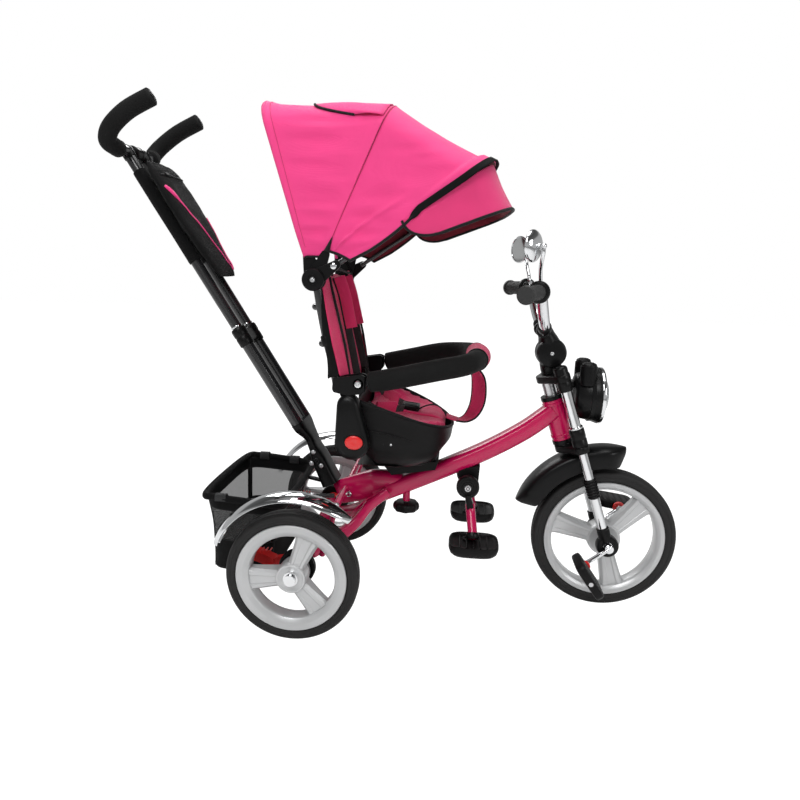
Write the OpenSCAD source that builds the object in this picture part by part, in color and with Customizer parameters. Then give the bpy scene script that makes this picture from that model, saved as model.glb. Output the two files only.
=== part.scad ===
/* [Wheels] */
// Radius of a rear wheel over its tyre
rear_r = 128; // [120:1:135]
// Radius of the front wheel over its tyre
front_r = 151; // [145:1:155]
// Width of a tyre
tyre_w = 44; // [40:1:46]
// Distance between the centre planes of the rear wheels
track = 450; // [440:1:460]
// Distance from the rear axle to the front axle
wheelbase = 622; // [615:1:630]

/* [Steering] */
// Lean of the steering axis back from vertical, in degrees
rake = 18.6; // [17:0.1:20]
// Distance of the fork legs ahead of the steering axis
fork_offset = 27; // [24:1:30]
// Half the distance between the fork legs
fork_half = 50; // [48:1:54]
// Half the width of the handlebar over its grips
bar_half = 200; // [190:1:210]

/* [Seat] */
// Half the width of the seat shell
seat_half = 128; // [120:1:130]
// Half the width of the back cushion
back_half = 116; // [105:1:118]
// Radius of the foam on the safety bar
foam_r = 21; // [18:1:23]

/* [Canopy] */
// Half the width of the canopy
hood_half = 164; // [160:1:170]
// Lean of the rear bow, back from vertical, in degrees
rear_bow_a = -17; // [-20:1:-12]
// Lean of the middle bow, forward from vertical, in degrees
mid_bow_a = 24; // [20:1:28]
// Lean of the front bow, forward from vertical, in degrees
front_bow_a = 56; // [52:1:60]
// Lean of the visor's free edge, forward from vertical, in degrees
visor_a = 69; // [66:1:72]

/* [Push bar] */
// Lean of the push bar, back from vertical, in degrees
push_lean = 32.3; // [30:0.1:34]
// Half the distance between the push bar's two tubes
push_half = 33; // [30:1:36]
// Length of the push bar above its socket
push_len = 653; // [620:1:680]

/* [Hidden] */
$fn = 48;
clear = 0.3;          // gap between curved faces of separate pieces
run = 0.05;           // radial clearance of a shaft in its bore
sheet = 2;            // thickness of pressed sheet
axle_r = 6;           // rear axle and crank axle radius
axle_x = -183.6;      // rear axle's place, with the origin half way along the tricycle
rear_y = track / 2;
// Where the steering axis crosses the top of the head tube
head_z = 443;
head_x = wheelbase - (fork_offset + (head_z - front_r) * sin(rake)) / cos(rake);
// How far the front axle lies below that, along the fork legs
leg_drop = (head_z - front_r) * cos(rake) + (wheelbase - head_x) * sin(rake);
steerer_r = 12.7;
leg_r = 11;
// Pivots, as [x, z] from the ground under the rear axle
recline_at = [104, 377];
arm_at = [107, 489];
hood_at = [26, 682];
foot_at = [328, 261];
knob_at = [196, 193];
stem_at = [484, 545];
rim_share = 0.835;    // rim radius over tyre radius
push_at = [-34, 368];
crank_len = 62;
crank_a = 38;
arm_y = 140;          // centre plane of each safety bar leg

// ---- Geometry helpers ----
function unit(v) = v / norm(v);
function mirror_y(p) = [p[0], -p[1], p[2]];
function reverse(list) = [for (i = [len(list) - 1 : -1 : 0]) list[i]];
// A smooth curve through the points p, with n steps between neighbours
function curve(p, n) = concat([for (i = [0 : len(p) - 2], k = [0 : n - 1])
    let (a = p[max(i - 1, 0)], b = p[i], c = p[i + 1], d = p[min(i + 2, len(p) - 1)], t = k / n)
    0.5 * (2 * b + (c - a) * t + (2 * a - 5 * b + 4 * c - d) * t * t + (3 * b - 3 * c + d - a) * t * t * t)],
    [p[len(p) - 1]]);
// A route that is given for one side and repeated, mirrored, on the other
function both_sides(p) = concat(p, [for (q = reverse(p)) if (abs(q[1]) > 0.001) mirror_y(q)]);
function round_outline(r, n) = [for (k = [0 : n - 1]) [r * cos(360 * k / n), r * sin(360 * k / n)]];
// A rounded oblong, a wide and b high, from a superellipse
function oblong_outline(a, b, n) = [for (k = [0 : n - 1]) let (c = cos(360 * k / n),
    s = sin(360 * k / n))
    [a / 2 * sign(c) * pow(abs(c), 0.6), b / 2 * sign(s) * pow(abs(s), 0.6)]];

// Joins rings of equal length into one closed body
module loft(rings) {
    n = len(rings);
    m = len(rings[0]);
    polyhedron([for (r = rings) each r], concat(
        [[for (j = [m - 1 : -1 : 0]) j]],
        ring_walls(n, m),
        [[for (j = [0 : m - 1]) (n - 1) * m + j]]));
}
function ring_walls(n, m) = [for (i = [0 : n - 2], j = [0 : m - 1])
    [i * m + j, i * m + (j + 1) % m, (i + 1) * m + (j + 1) % m, (i + 1) * m + j]];
// The same for thin bands, whose rings run out along one face and back along the other
module band_loft(rings) {
    n = len(rings);
    m = len(rings[0]);
    polyhedron([for (r = rings) each r], concat(
        [for (j = [0 : m / 2 - 2]) [m - 1 - j, m - 2 - j, j + 1, j]],
        ring_walls(n, m),
        [for (j = [0 : m / 2 - 2]) [for (k = [j, j + 1, m - 2 - j, m - 1 - j]) (n - 1) * m + k]]));
}
// Sweeps an outline along a path; ref is never parallel to the path
module sweep(path, outline, ref) {
    n = len(path);
    loft([for (i = [0 : n - 1])
        let (t = unit(path[min(i + 1, n - 1)] - path[max(i - 1, 0)]), s = unit(cross(t, ref)),
            u = cross(s, t))
        [for (q = outline) path[i] + q[0] * s + q[1] * u]]);
}
// A straight round bar between two points
module rod(a, b, r) {
    v = b - a;
    translate(a) rotate([0, acos(v[2] / norm(v)), atan2(v[1], v[0])]) cylinder(h = norm(v), r = r);
}
module at_axle() translate([axle_x, 0, 0]) children();
module both() {
    children();
    mirror([0, 1, 0]) children();
}
// Stands the outline, drawn in [x, z], up and gives it the width from y1 to y2
module side_plate(y1, y2) translate([0, y2, 0]) rotate([90, 0, 0]) linear_extrude(y2 - y1) children();
// A round piece along Y, centred at [x, z]
module cross_pin(at, y1, y2, r) translate([at[0], y2, at[1]]) rotate([90, 0,
    0]) cylinder(h = y2 - y1, r = r);
// The steering frame: Z runs up the steering axis from the top of the head tube
module steer() translate([head_x, 0, head_z]) rotate([0, -rake, 0]) children();
// The push bar's frame: Z runs up the bar from its socket
module push() translate([push_at[0], 0, push_at[1]]) rotate([0, -push_lean, 0]) children();

// ---- Frame ----
tube_route = [[128, 0, 216], [163, 0, 232], [259, 0, 277], [359, 0, 327], [435, 0, 373], [480, 0,
    408], [500, 0, 426]];
module main_tube_body() sweep(curve(tube_route, 3), oblong_outline(37, 48, 20), [0, 1, 0]);
module main_tube() color([0.76, 0.04, 0.28]) at_axle() {
    difference() {
        union() {
            main_tube_body();
            steer() translate([0, 0, -83]) cylinder(h = 88, r = 21);
            translate([knob_at[0], 0, 206]) cylinder(h = 34, r = 8);
        }
        steer() translate([0, 0, -84]) cylinder(h = 90, r = 15);
        translate([knob_at[0], 0, 200]) cylinder(h = 24, r = 4 + run);
    }
}
bracket_outline = [[34, 219], [76, 252], [130, 274], [164, 268], [164, 219], [93, 141], [78, 132],
    [58, 146]];
module rear_subframe() color([0.76, 0.04, 0.28]) at_axle() {
    difference() {
        union() {
            difference() {
                side_plate(-36, 36) polygon(bracket_outline);
                side_plate(-33, 33) polygon([[20, 190], [60, 236], [74, 248], [130, 270], [160, 264],
                    [175, 200], [90, 120], [50, 120]]);
            }
            // Cross tube that holds the axle, and the legs down to it
            difference() {
                cross_pin([0, rear_r], -180, 180, 14);
                cross_pin([0, rear_r], -181, 181, axle_r + 1);
            }
            both() {
                hull() {
                    translate([72, 32, 160]) sphere(12, $fn = 24);
                    translate([14, 128, rear_r]) sphere(11, $fn = 24);
                }
                rod([66, 30, 240], [74, 190, 252], 7);
                rod([74, 189, 252], [40, 150, rear_r + 8], 6);
            }
        }
        cross_pin([0, rear_r], -181, 181, axle_r + 1);
        main_tube_clearance();
        push_socket_clearance();
    }
}
module main_tube_clearance() sweep(curve(tube_route, 3), oblong_outline(37.6, 48.6, 20), [0, 1, 0]);
module rear_axle() color("silver") at_axle() {
    cross_pin([0, rear_r], -rear_y - 26, rear_y + 26, axle_r);
}
module headset_cups() color([0.05, 0.05, 0.05]) at_axle() steer() for (z = [5 + 0.2, -91.2]) {
    translate([0, 0, z]) difference() {
        cylinder(h = 8, r = 22);
        translate([0, 0, -1]) cylinder(h = 10, r = steerer_r + run);
    }
}
// Curved strip section of a rear fender: [along the axle, radius]
fender_crown = [for (k = [-8 : 8]) [k * 27 / 8, 165 - 10 * pow(k / 8, 2)]];
module rear_fenders() color("gainsboro") at_axle() both()
    translate([0, rear_y, rear_r]) rotate([90, 0, 0]) rotate([0, 0,
        46.5]) rotate_extrude(angle = 114.5, $fn = 96)
        polygon(concat([for (p = fender_crown) [p[1], p[0]]],
            [for (p = reverse(fender_crown)) [p[1] - sheet, p[0]]]));
module brake_housings() color([0.07, 0.07, 0.07]) at_axle() both() difference() {
    union() {
        cross_pin([0, rear_r], 184, 199, 36);
        cross_pin([0, rear_r], 181, 184, 22);
    }
    cross_pin([0, rear_r], 180, 200, axle_r + 1);
}

// ---- Basket ----
basket_rim = [[-40, 0, 232], [-44, 120, 232], [-62, 146, 234], [-120, 150, 240], [-180, 149, 245],
    [-204, 132, 246], [-210, 0, 246]];
module basket_frame() color([0.07, 0.07, 0.07]) at_axle() {
    sweep(curve(both_sides(basket_rim), 3), round_outline(5, 10), [0, 0, 1]);
    both() rod([-46, 60, 222], [44, 41.4, 222], 5);
}
// The basket's wall runs up between these heights
basket_z = [78, 225];
basket_wall = 6;
// Outline of the basket at a height, inset by d: an oblong with its corners cut
function basket_ring(z, d) = let (t = (z - basket_z[0]) / (basket_z[1] - basket_z[0]),
    x1 = -64 + 14 * t - d,
    x2 = -204 - 2 * t + d, h = 124 + 15 * t - d, c = 26 + 4 * t - 0.586 * d)
    [[x1, -h + c, z], [x1, h - c, z], [x1 - c, h, z], [x2 + c, h, z],
     [x2, h - c, z], [x2, -h + c, z], [x2 + c, -h, z], [x1 - c, -h, z]];
// The wall's section at corner j
function basket_corner(j) = [basket_ring(basket_z[0], 0)[j], basket_ring(basket_z[1], 0)[j],
    basket_ring(basket_z[1], basket_wall)[j], basket_ring(basket_z[0] + basket_wall, basket_wall)[j]];
// One flat side of the wall, and the floor
module basket_side(j) {
    a = basket_corner(j);
    b = basket_corner((j + 1) % 8);
    loft([for (e = [0, 1]) [for (k = [0 : 3]) let (u = unit(b[k] - a[k])) (e == 0 ? a[k] + 0.06 * u : b[k] - 0.06 * u)]]);
}
module basket_bag() color([0.10, 0.10, 0.10]) at_axle() {
    for (j = [0 : 7]) basket_side(j);
    loft(reverse([basket_ring(basket_z[0], 0.1), basket_ring(basket_z[0] + basket_wall,
        basket_wall + 0.1)]));
}

// ---- Push bar ----
// The socket's neck, as [x, z, thickness, width] from the tubes' foot down to the frame
socket_steps = [[-15, 340, 17, 60], [5, 293, 32, 60], [30, 240, 38, 60]];
module socket_slab(k, grow) let (q = socket_steps[k]) translate([q[0], 0, q[1]]) rotate([0, -27, 0])
    cube([q[2] + grow, q[3] + grow, 10 + grow], center = true);
module push_socket_body(grow) {
    hull() {
        push() translate([0, 0, 4]) cube([26 + grow, 2 * push_half + 30 + grow, 10], center = true);
        socket_slab(0, grow);
    }
    for (k = [0, 1]) hull() {
        socket_slab(k, grow);
        socket_slab(k + 1, grow);
    }
}
module push_socket_clearance() push_socket_body(0.6);
module push_socket() color([0.06, 0.06, 0.06]) at_axle() push_socket_body(0);
module push_lower_tubes() color([0.05, 0.05, 0.05]) at_axle() push() both() translate([0, push_half,
    0]) difference() {
    union() {
        translate([0, 0, 9.3]) cylinder(h = 226, r = 13);
        translate([0, 0, 204]) cylinder(h = 40, r = 16);
    }
    translate([0, 0, 9]) cylinder(h = 236, r = 11.1);
}
module push_upper_tubes() color([0.05, 0.05, 0.05]) at_axle() push() {
    both() translate([0, push_half, 162]) cylinder(h = push_len - 162, r = 11);
    translate([0, 0, push_len]) rotate([90, 0, 0]) cylinder(h = 126, r = 11.5, center = true);
    translate([0, 0, push_len]) rotate([90, 0, 0]) cylinder(h = 34, r = 15, center = true);
}
horn_route = [[-383, 66, 920], [-384, 78, 922], [-389, 94, 931], [-374, 106, 953], [-338, 111, 981],
    [-291, 111, 1004.5]];
module handle_horns() color([0.08, 0.08, 0.08]) at_axle() both()
    sweep(curve(horn_route, 4), round_outline(17, 16), [1, 0, -0.6]);
module handle_bag() color([0.09, 0.09, 0.09]) at_axle() push() translate([31, 0, 480])
    rotate([0, 90, 0]) translate([0, 0, -13]) linear_extrude(26) offset(18, $fn = 32) square([224,
        104], center = true);

// ---- Seat ----
module seat_base() color([0.07, 0.07, 0.07]) at_axle() difference() {
    side_plate(-42, 42) polygon([[138, 309], [166, 276], [258, 292], [264, 309]]);
    main_tube_clearance();
}
function seat_plan(front, half) = concat([[96, -half], [front - 108, -half]],
    [for (a = [-80 : 20 : 80]) [front - 108 + 108 * cos(a), half * sin(a)]], [[front - 108, half],
        [96, half]]);
shell_side = [[96, 455], [180, 428], [290, 386], [292, 348], [264, 309.3], [138, 309.3], [96, 345]];
module seat_shell() color([0.07, 0.07, 0.07]) at_axle() {
    difference() {
        union() {
            intersection() {
                translate([0, 0, 300]) linear_extrude(170) polygon(seat_plan(290, seat_half));
                side_plate(-140, 140) polygon(shell_side);
            }
            both() cross_pin(recline_at, seat_half - 1, 152, 8);
        }
        intersection() {
            translate([0, 0, 300]) linear_extrude(170) polygon(seat_plan(285, seat_half - 5));
            side_plate(-140, 140) polygon([[90, 480], [300, 404], [300, 372], [270, 358], [90, 362]]);
        }
    }
}
module seat_cushion() color([0.83, 0.05, 0.32]) at_axle() intersection() {
    translate([0, 0, 300]) linear_extrude(170) polygon(seat_plan(283, seat_half - 6));
    side_plate(-140, 140) polygon([[100, 385], [200, 372], [296, 376], [296, 392], [250, 404], [180,
        412], [100, 420]]);
}
module waist_belt() color([0.06, 0.06, 0.06]) at_axle() {
    both() rod([140, 60, 428], [196, 22, 420], 6);
    translate([204, 0, 421]) rotate([0, 10, 0]) cube([34, 36, 14], center = true);
}

// ---- Footrest ----
module footrest_bracket() color([0.07, 0.07, 0.07]) at_axle() difference() {
    union() {
        cross_pin(foot_at, -38, 38, 16);
        side_plate(-22, 22) polygon([[308, 262], [306, 290], [352, 300], [350, 262]]);
        cross_pin(foot_at, -60, 60, 6);
    }
    main_tube_clearance();
}
module footrest_arm() {
    difference() {
        union() {
            cross_pin(foot_at, 39, 55, 24);
            side_plate(40, 54) polygon([[316, 250], [342, 250], [344, 216], [326, 216]]);
        }
        cross_pin(foot_at, 38, 56, 6 + run);
    }
    sweep([[334, 47, 224], [337, 56, 204], [341, 78, 175], [342, 90, 160]], round_outline(10, 12),
        [1, 0, 0]);
    translate([344, 94, 151]) hull() {
        translate([0, 0, 4]) linear_extrude(8) offset(24, $fn = 32) square([56, 44], center = true);
        translate([0, 0, -12]) linear_extrude(6) offset(18, $fn = 32) square([50, 36], center = true);
    }
}
module footrest_left() color([0.10, 0.10, 0.10]) at_axle() footrest_arm();
module footrest_right() color([0.10, 0.10, 0.10]) at_axle() mirror([0, 1, 0]) footrest_arm();
module seat_knob() color([0.05, 0.05, 0.05]) at_axle() translate([knob_at[0], 0, 0]) {
    difference() {
        translate([0, 0, 184]) cylinder(h = 19, r = 30);
        for (a = [0 : 45 : 315]) rotate([0, 0, a + 22.5]) translate([33, 0, 180]) cylinder(h = 30,
            r = 8);
    }
    translate([0, 0, 203]) cylinder(h = 17, r = 4);
}

// ---- Fork, handlebar and light ----
module leg(z1, z2, r) both() translate([fork_offset, fork_half, z1]) cylinder(h = z2 - z1, r = r);
module fork_crown() color([0.07, 0.07, 0.07]) at_axle() steer() {
    difference() {
        for (z = [-109, 44]) translate([0, 0, z]) linear_extrude(15) hull() {
            circle(20);
            for (s = [-1, 1]) translate([fork_offset, s * fork_half]) circle(15.5);
        }
        leg(-120, -93, leg_r + 0.2);
        leg(40, 65, leg_r + 0.2);
    }
    translate([0, 0, -100]) cylinder(h = 155, r = steerer_r);
    // Pad that the front fender bolts to
    translate([fork_offset, 0, -113.2]) cylinder(h = 6, r = 9);
}
module fork_tubes() color("gainsboro") at_axle() steer() {
    leg(-leg_drop + 23, 70, leg_r - 1);
    leg(-56, 29.8, leg_r);
}
module fork_sleeves() color([0.06, 0.06, 0.06]) at_axle() steer() {
    difference() {
        union() {
            leg(-93.8, -57, 15.5);
            leg(-209, -166, 13);
            leg(24, 43.8, 14.5);
            leg(59.2, 76, 14);
        }
        leg(-220, 70.2, leg_r - 0.9);
        leg(-58, 30, leg_r + 0.2);
    }
    difference() {
        both() translate([fork_offset, 0, -leg_drop]) {
            rotate([90, 0, 0]) translate([0, 0, -61]) cylinder(h = 20, r = 23);
            translate([0, fork_half, 10]) cylinder(h = 30, r = 13);
        }
        translate([fork_offset, 0, -leg_drop]) rotate([90, 0, 0]) cylinder(h = 140, r = axle_r + run,
            center = true);
        leg(-leg_drop + 22.8, -250, leg_r - 0.9);
    }
}
module stem_cover() color([0.06, 0.06, 0.06]) at_axle() difference() {
    union() {
        hull() {
            cross_pin(stem_at, -26, 26, 30);
            steer() translate([12, 0, 60]) cylinder(h = 4, r = 19, $fn = 32);
        }
        hull() {
            cross_pin(stem_at, -24, 24, 22);
            cross_pin([465, 590], -27, 27, 14.5);
        }
    }
    sweep(bar_route(), round_outline(11.2, 16), [1, 0, 0.3]);
}
// The mirrors turn on balls at the ends of their stems
mirror_ball = [438, 151, 752];
mirror_turn = 34;
mirror_stem = [[443, 104, 672], [441, 107, 694], [438, 124, 712], [437, 143, 726], [438, 150, 740],
    [438, 151, 752]];
function bar_route() = curve(both_sides([[409, bar_half - 4, 667], [425, 160, 668], [440, 112, 670],
    [447, 90, 662],
    [458, 58, 618], [466, 32, 592], [468, 0, 588]]), 4);
module handlebar() color("gainsboro") at_axle() {
    sweep(bar_route(), round_outline(11, 16), [1, 0, 0.3]);
    both() {
        sweep(curve(mirror_stem, 3), round_outline(3.5, 8), [1, 0, 0]);
        translate(mirror_ball) sphere(5.3, $fn = 32);
    }
}
module grips() color([0.07, 0.07, 0.07]) at_axle() both() difference() {
    union() {
        rod([438, 118, 669.7], [407, bar_half, 667], 14.5);
        rod([440.5, 112, 669.8], [436.5, 123, 669.6], 21);
    }
    sweep(bar_route(), round_outline(11.3, 16), [1, 0, 0.3]);
}
module mirror_head() translate(mirror_ball) rotate([0, -90, mirror_turn]) translate([0, 0,
    19.5]) difference() {
    union() {
        cylinder(h = 4, r = 29);
        translate([0, 0, -9]) cylinder(h = 9, r1 = 14, r2 = 29);
        translate([0, 0, -14]) cylinder(h = 6, r = 5);
    }
    translate([0, 0, 3]) cylinder(h = 3, r = 26.5);
}
module mirror_left() color("gainsboro") at_axle() mirror_head();
module mirror_right() color("gainsboro") at_axle() mirror([0, 1, 0]) mirror_head();
light_at = [538, 459];
module headlight_housing() color([0.06, 0.06, 0.06]) at_axle() difference() {
    union() {
        translate([light_at[0], 0, light_at[1]]) rotate([0, 90, 0]) cylinder(h = 46, r1 = 46, r2 = 58);
        translate([light_at[0] + 46, 0, light_at[1]]) rotate([0, 90, 0]) cylinder(h = 8, r = 58);
        both() translate([558, 33, 496]) cylinder(h = 28, r = 17);
    }
    translate([light_at[0] + 48, 0, light_at[1]]) rotate([0, 90, 0]) cylinder(h = 8, r = 54);
    both() translate([558, 33, 519]) cylinder(h = 8, r = 15.3);
    both() translate([558, 33, 511]) cylinder(h = 12, r = 10);
}
module headlight_lens() color([0.85, 0.9, 0.95]) at_axle() translate([light_at[0] + 48.2, 0,
    light_at[1]]) rotate([0, 90, 0])
    intersection() {
        cylinder(h = 30, r = 53.7);
        translate([0, 0, -62]) sphere(82);
        cylinder(h = 30, r = 60);
    }
module headlight_button() {
    translate([558, 33, 522]) cylinder(h = 8, r = 15);
    translate([558, 33, 517]) cylinder(h = 6, r = 9.7);
}
module headlight_button_left() color([0.10, 0.10, 0.10]) at_axle() headlight_button();
module headlight_button_right() color([0.10, 0.10, 0.10]) at_axle() mirror([0, 1,
    0]) headlight_button();
// Half the section of the front fender, inset by d: [radius, half width]
function guard_half(d) = concat([[157, 36 - d]], [for (a = [0 : 15 : 90]) [190 + (14 - d) * sin(a),
    22 + (14 - d) * cos(a)]]);
function guard_line(d) = concat(guard_half(d), [for (p = reverse(guard_half(d))) [p[0], -p[1]]]);
module front_fender() color([0.06, 0.06, 0.06]) at_axle() front_wheel_place() rotate([90, 0,
    0]) rotate([0, 0, 81])
    rotate_extrude(angle = 78, $fn = 96) polygon(concat(guard_line(0), reverse(guard_line(sheet))));

// ---- Wheels ----
module tyre_ring(r, w) rotate([90, 0, 0]) rotate_extrude($fn = 96)
    polygon([[r * rim_share, -w * 0.40], [r - 9, -w / 2], [r - 3, -w * 0.38], [r, -w * 0.18],
        [r, w * 0.18], [r - 3, w * 0.38], [r - 9, w / 2], [r * rim_share, w * 0.40]]);
module wheel_disc(r, w, hub_r, bore_r, turn) {
    rim_r = r * rim_share - 0.2;
    rotate([90, 0, 0]) difference() {
        union() {
            rotate_extrude($fn = 96) polygon([[rim_r - 18, -w * 0.30], [rim_r - 8, -w * 0.44],
                [rim_r, -w * 0.44],
                [rim_r, w * 0.44], [rim_r - 8, w * 0.44], [rim_r - 18, w * 0.30]]);
            cylinder(h = w + 2, r = hub_r, center = true);
            for (a = [turn : 120 : turn + 240]) rotate([0, 0, a]) rotate([90, 0, 90])
                translate([0, 0, hub_r - 4]) linear_extrude(rim_r - hub_r - 12)
                    polygon([[-20, -8], [20, -8], [17, 9], [-17, 9]]);
        }
        cylinder(h = w + 4, r = bore_r, center = true);
    }
}
module rear_wheel_place() translate([0, rear_y, rear_r]) children();
module front_wheel_place() translate([wheelbase, 0, front_r]) children();
module front_tyre() color([0.04, 0.04, 0.04]) at_axle() front_wheel_place() tyre_ring(front_r, tyre_w);
module front_rim() color("silver") at_axle() front_wheel_place() wheel_disc(front_r, tyre_w, 34,
    axle_r + 0.2, 45);
module rear_tyre_left() color([0.04, 0.04, 0.04]) at_axle() rear_wheel_place() tyre_ring(rear_r,
    tyre_w);
module rear_tyre_right() color([0.04, 0.04, 0.04]) at_axle() mirror([0, 1,
    0]) rear_wheel_place() tyre_ring(rear_r, tyre_w);
module rear_rim_left() color("silver") at_axle() rear_wheel_place() wheel_disc(rear_r, tyre_w, 29,
    axle_r + run, 68);
module rear_rim_right() color("silver") at_axle() mirror([0, 1,
    0]) rear_wheel_place() wheel_disc(rear_r, tyre_w, 29, axle_r + run, 68);
function pedal_x(side) = wheelbase + side * crank_len * cos(crank_a);
function pedal_z(side) = front_r + side * crank_len * sin(crank_a);
module crank() color("gainsboro") at_axle() {
    cross_pin([wheelbase, front_r], -72, 72, axle_r);
    for (s = [-1, 1]) {
        hull() {
            translate([wheelbase, s * 68, front_r]) rotate([90, 0, 0]) cylinder(h = 8, r = 8,
                center = true, $fn = 32);
            translate([pedal_x(s), s * 68, pedal_z(s)]) rotate([90, 0, 0]) cylinder(h = 8, r = 7,
                center = true, $fn = 32);
        }
        translate([pedal_x(s), s * 112, pedal_z(s)]) rotate([90, 0, 0]) cylinder(h = 86, r = 4.5,
            center = true);
    }
}
module pedal_block(side) translate([pedal_x(side), side * 118, pedal_z(side)]) difference() {
    rotate([0, side < 0 ? 54 : 8, 0]) cube([84, 76, 18], center = true);
    rotate([90, 0, 0]) cylinder(h = 100, r = 4.5 + run, center = true);
}
module pedal_left() color([0.08, 0.08, 0.08]) at_axle() pedal_block(1);
module pedal_right() color([0.08, 0.08, 0.08]) at_axle() pedal_block(-1);

// ---- Backrest ----
module recline_housings() color([0.07, 0.07, 0.07]) at_axle() both() difference() {
    union() {
        side_plate(131, 163) hull() {
            translate([98, 372]) circle(34);
            translate([90, 446]) circle(22);
        }
    }
    cross_pin(recline_at, 130, 152.3, 8 + run);
    cross_pin(recline_at, 157, 164, 17);
    cross_pin(recline_at, 152, 158, 6);
}
module back_frame() color([0.06, 0.06, 0.06]) at_axle() {
    both() {
        difference() {
            union() {
                side_plate(126, 152) hull() {
                    translate([70, 486]) circle(15);
                    translate([80, 485.5]) circle(17);
                    translate([arm_at[0], arm_at[1]]) circle(18);
                }
                rod([66, arm_y, 480], [48, arm_y, 568], 9);
                rod([48, arm_y, 567], [31, 146, 664], 9);
            }
            side_plate(132, 148) translate(arm_at) circle(22);
            side_plate(132, 148) translate([arm_at[0], arm_at[1] - 22]) square([60, 60]);
        }
        cross_pin(arm_at, 130, 150, 4);
    }
    for (p = [[36, 630], [49, 560]]) sweep(curve(both_sides([[p[0], 140, p[1]], [p[0] - 8, 131, p[1]],
        [p[0] - 17, 118, p[1]], [p[0] - 19, 60, p[1]], [p[0] - 19, 0, p[1]]]), 3), round_outline(6,
            12), [0, 0, 1]);
}
module back_cushion() color([0.83, 0.05, 0.32]) at_axle() side_plate(-back_half, back_half)
    polygon([[80, 432], [97, 438], [78, 520], [38, 692], [31, 700], [24, 688], [41, 560], [57, 500]]);
module harness() color([0.06, 0.06, 0.06]) at_axle() both() difference() {
    rod([43, 42, 690], [95, 52, 448], 7);
    back_cushion_clearance();
}
module back_cushion_clearance() side_plate(-back_half, back_half)
    polygon([[80, 432], [97.4, 438], [78.4, 520], [38.4, 692], [31, 700.4], [24, 688], [41, 560],
        [57, 500]]);
module recline_button() {
    cross_pin(recline_at, 160, 167, 16.7);
    cross_pin(recline_at, 156.5, 161, 5.7);
}
module recline_button_left() color([0.85, 0.08, 0.05]) at_axle() recline_button();
module recline_button_right() color([0.85, 0.08, 0.05]) at_axle() mirror([0, 1, 0]) recline_button();

// ---- Safety bar ----
safety_route = [[137, arm_y, 493], [190, 142, 504], [255, 138, 519], [308, 104, 526], [332, 55, 530],
    [340, 0, 531]];
module safety_bar() color([0.05, 0.05, 0.05]) at_axle() {
    sweep(curve(both_sides(safety_route), 4), round_outline(foam_r, 16), [0, 0, 1]);
    both() difference() {
        union() {
            cross_pin(arm_at, 132.4, 147.6, 13);
            rod([114, arm_y, 490], [142, arm_y, 494], 7.2);
        }
        cross_pin(arm_at, 130, 150, 4 + run);
    }
}
strap_route = [[334, 0, 507], [341, 0, 480], [342, 0, 448], [338, 0, 424], [326, 0, 402], [310, 0,
    392], [298, 0, 395]];
module crotch_strap() color([0.83, 0.05, 0.32]) at_axle()
    sweep(curve(strap_route, 2), [[-1.5, -19], [1.5, -19], [1.5, 19], [-1.5, 19]], [0, 1, 0]);

// ---- Canopy ----
// Radius of the canopy's top at a lean angle, from the hub
function hood_top(a) = a < mid_bow_a ? 340 + 7 * (a - rear_bow_a) / (mid_bow_a - rear_bow_a)
    : 347 + 43 * min(1, (a - mid_bow_a) / (front_bow_a - mid_bow_a));
// Half of the canopy's section at a lean angle, inset by d: [y, radius] from the foot to the crown
function hood_half_section(a, d, foot) = let (top = hood_top(a) - d, w = hood_half - d, c = 62)
    concat([for (t = [0, 0.33, 0.66]) [w - 3 * t, foot + (top - c - foot) * t]],
        [for (b = [0 : 15 : 75]) [w - 3 - c + c * cos(b), top - c + (c - 8) * sin(b)]],
        [for (t = [0, 0.5]) [(w - 3 - c) * (1 - t), top - 8 + 8 * sin(90 * t) ]]);
function hood_section(a, d, foot) = let (h = hood_half_section(a, d, foot))
    concat(h, [[0, hood_top(a) - d]], [for (p = reverse(h)) [-p[0], p[1]]]);
function lean_point(p, a) = [hood_at[0] + p[1] * sin(a), p[0], hood_at[1] + p[1] * cos(a)];
function hood_ring(a, foot) = concat([for (p = hood_section(a, 0, foot)) lean_point(p, a)],
    [for (p = reverse(hood_section(a, 3, foot))) lean_point(p, a)]);
module hood_panel(a1, a2, n, foot1, foot2) band_loft([for (k = [n : -1 : 0]) let (t = k / n)
    hood_ring(a1 + (a2 - a1) * t, foot1 + (foot2 - foot1) * t)]);
module hood_bow(a) sweep([for (p = hood_section(a, 8.5, 46)) lean_point(p, a)], round_outline(4.5, 10),
    [cos(a), 0, -sin(a)]);
module canopy_rear_bow() color([0.06, 0.06, 0.06]) at_axle() {
    hood_bow(rear_bow_a);
    both() difference() {
        union() {
            cross_pin(hood_at, 148, 153, 21);
            translate([hood_at[0], 150.5, hood_at[1]]) rotate([0, rear_bow_a, 0]) translate([0, 0, 34])
                cube([12, 5, 34], center = true);
            cross_pin(hood_at, 137, 149, 13);
            cross_pin(hood_at, 152, 172, 5);
        }
        rod([48, arm_y, 567], [31, 146, 664], 9.3);
        rod([31, 146, 664], [24, 148, 700], 9.3);
    }
}
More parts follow.
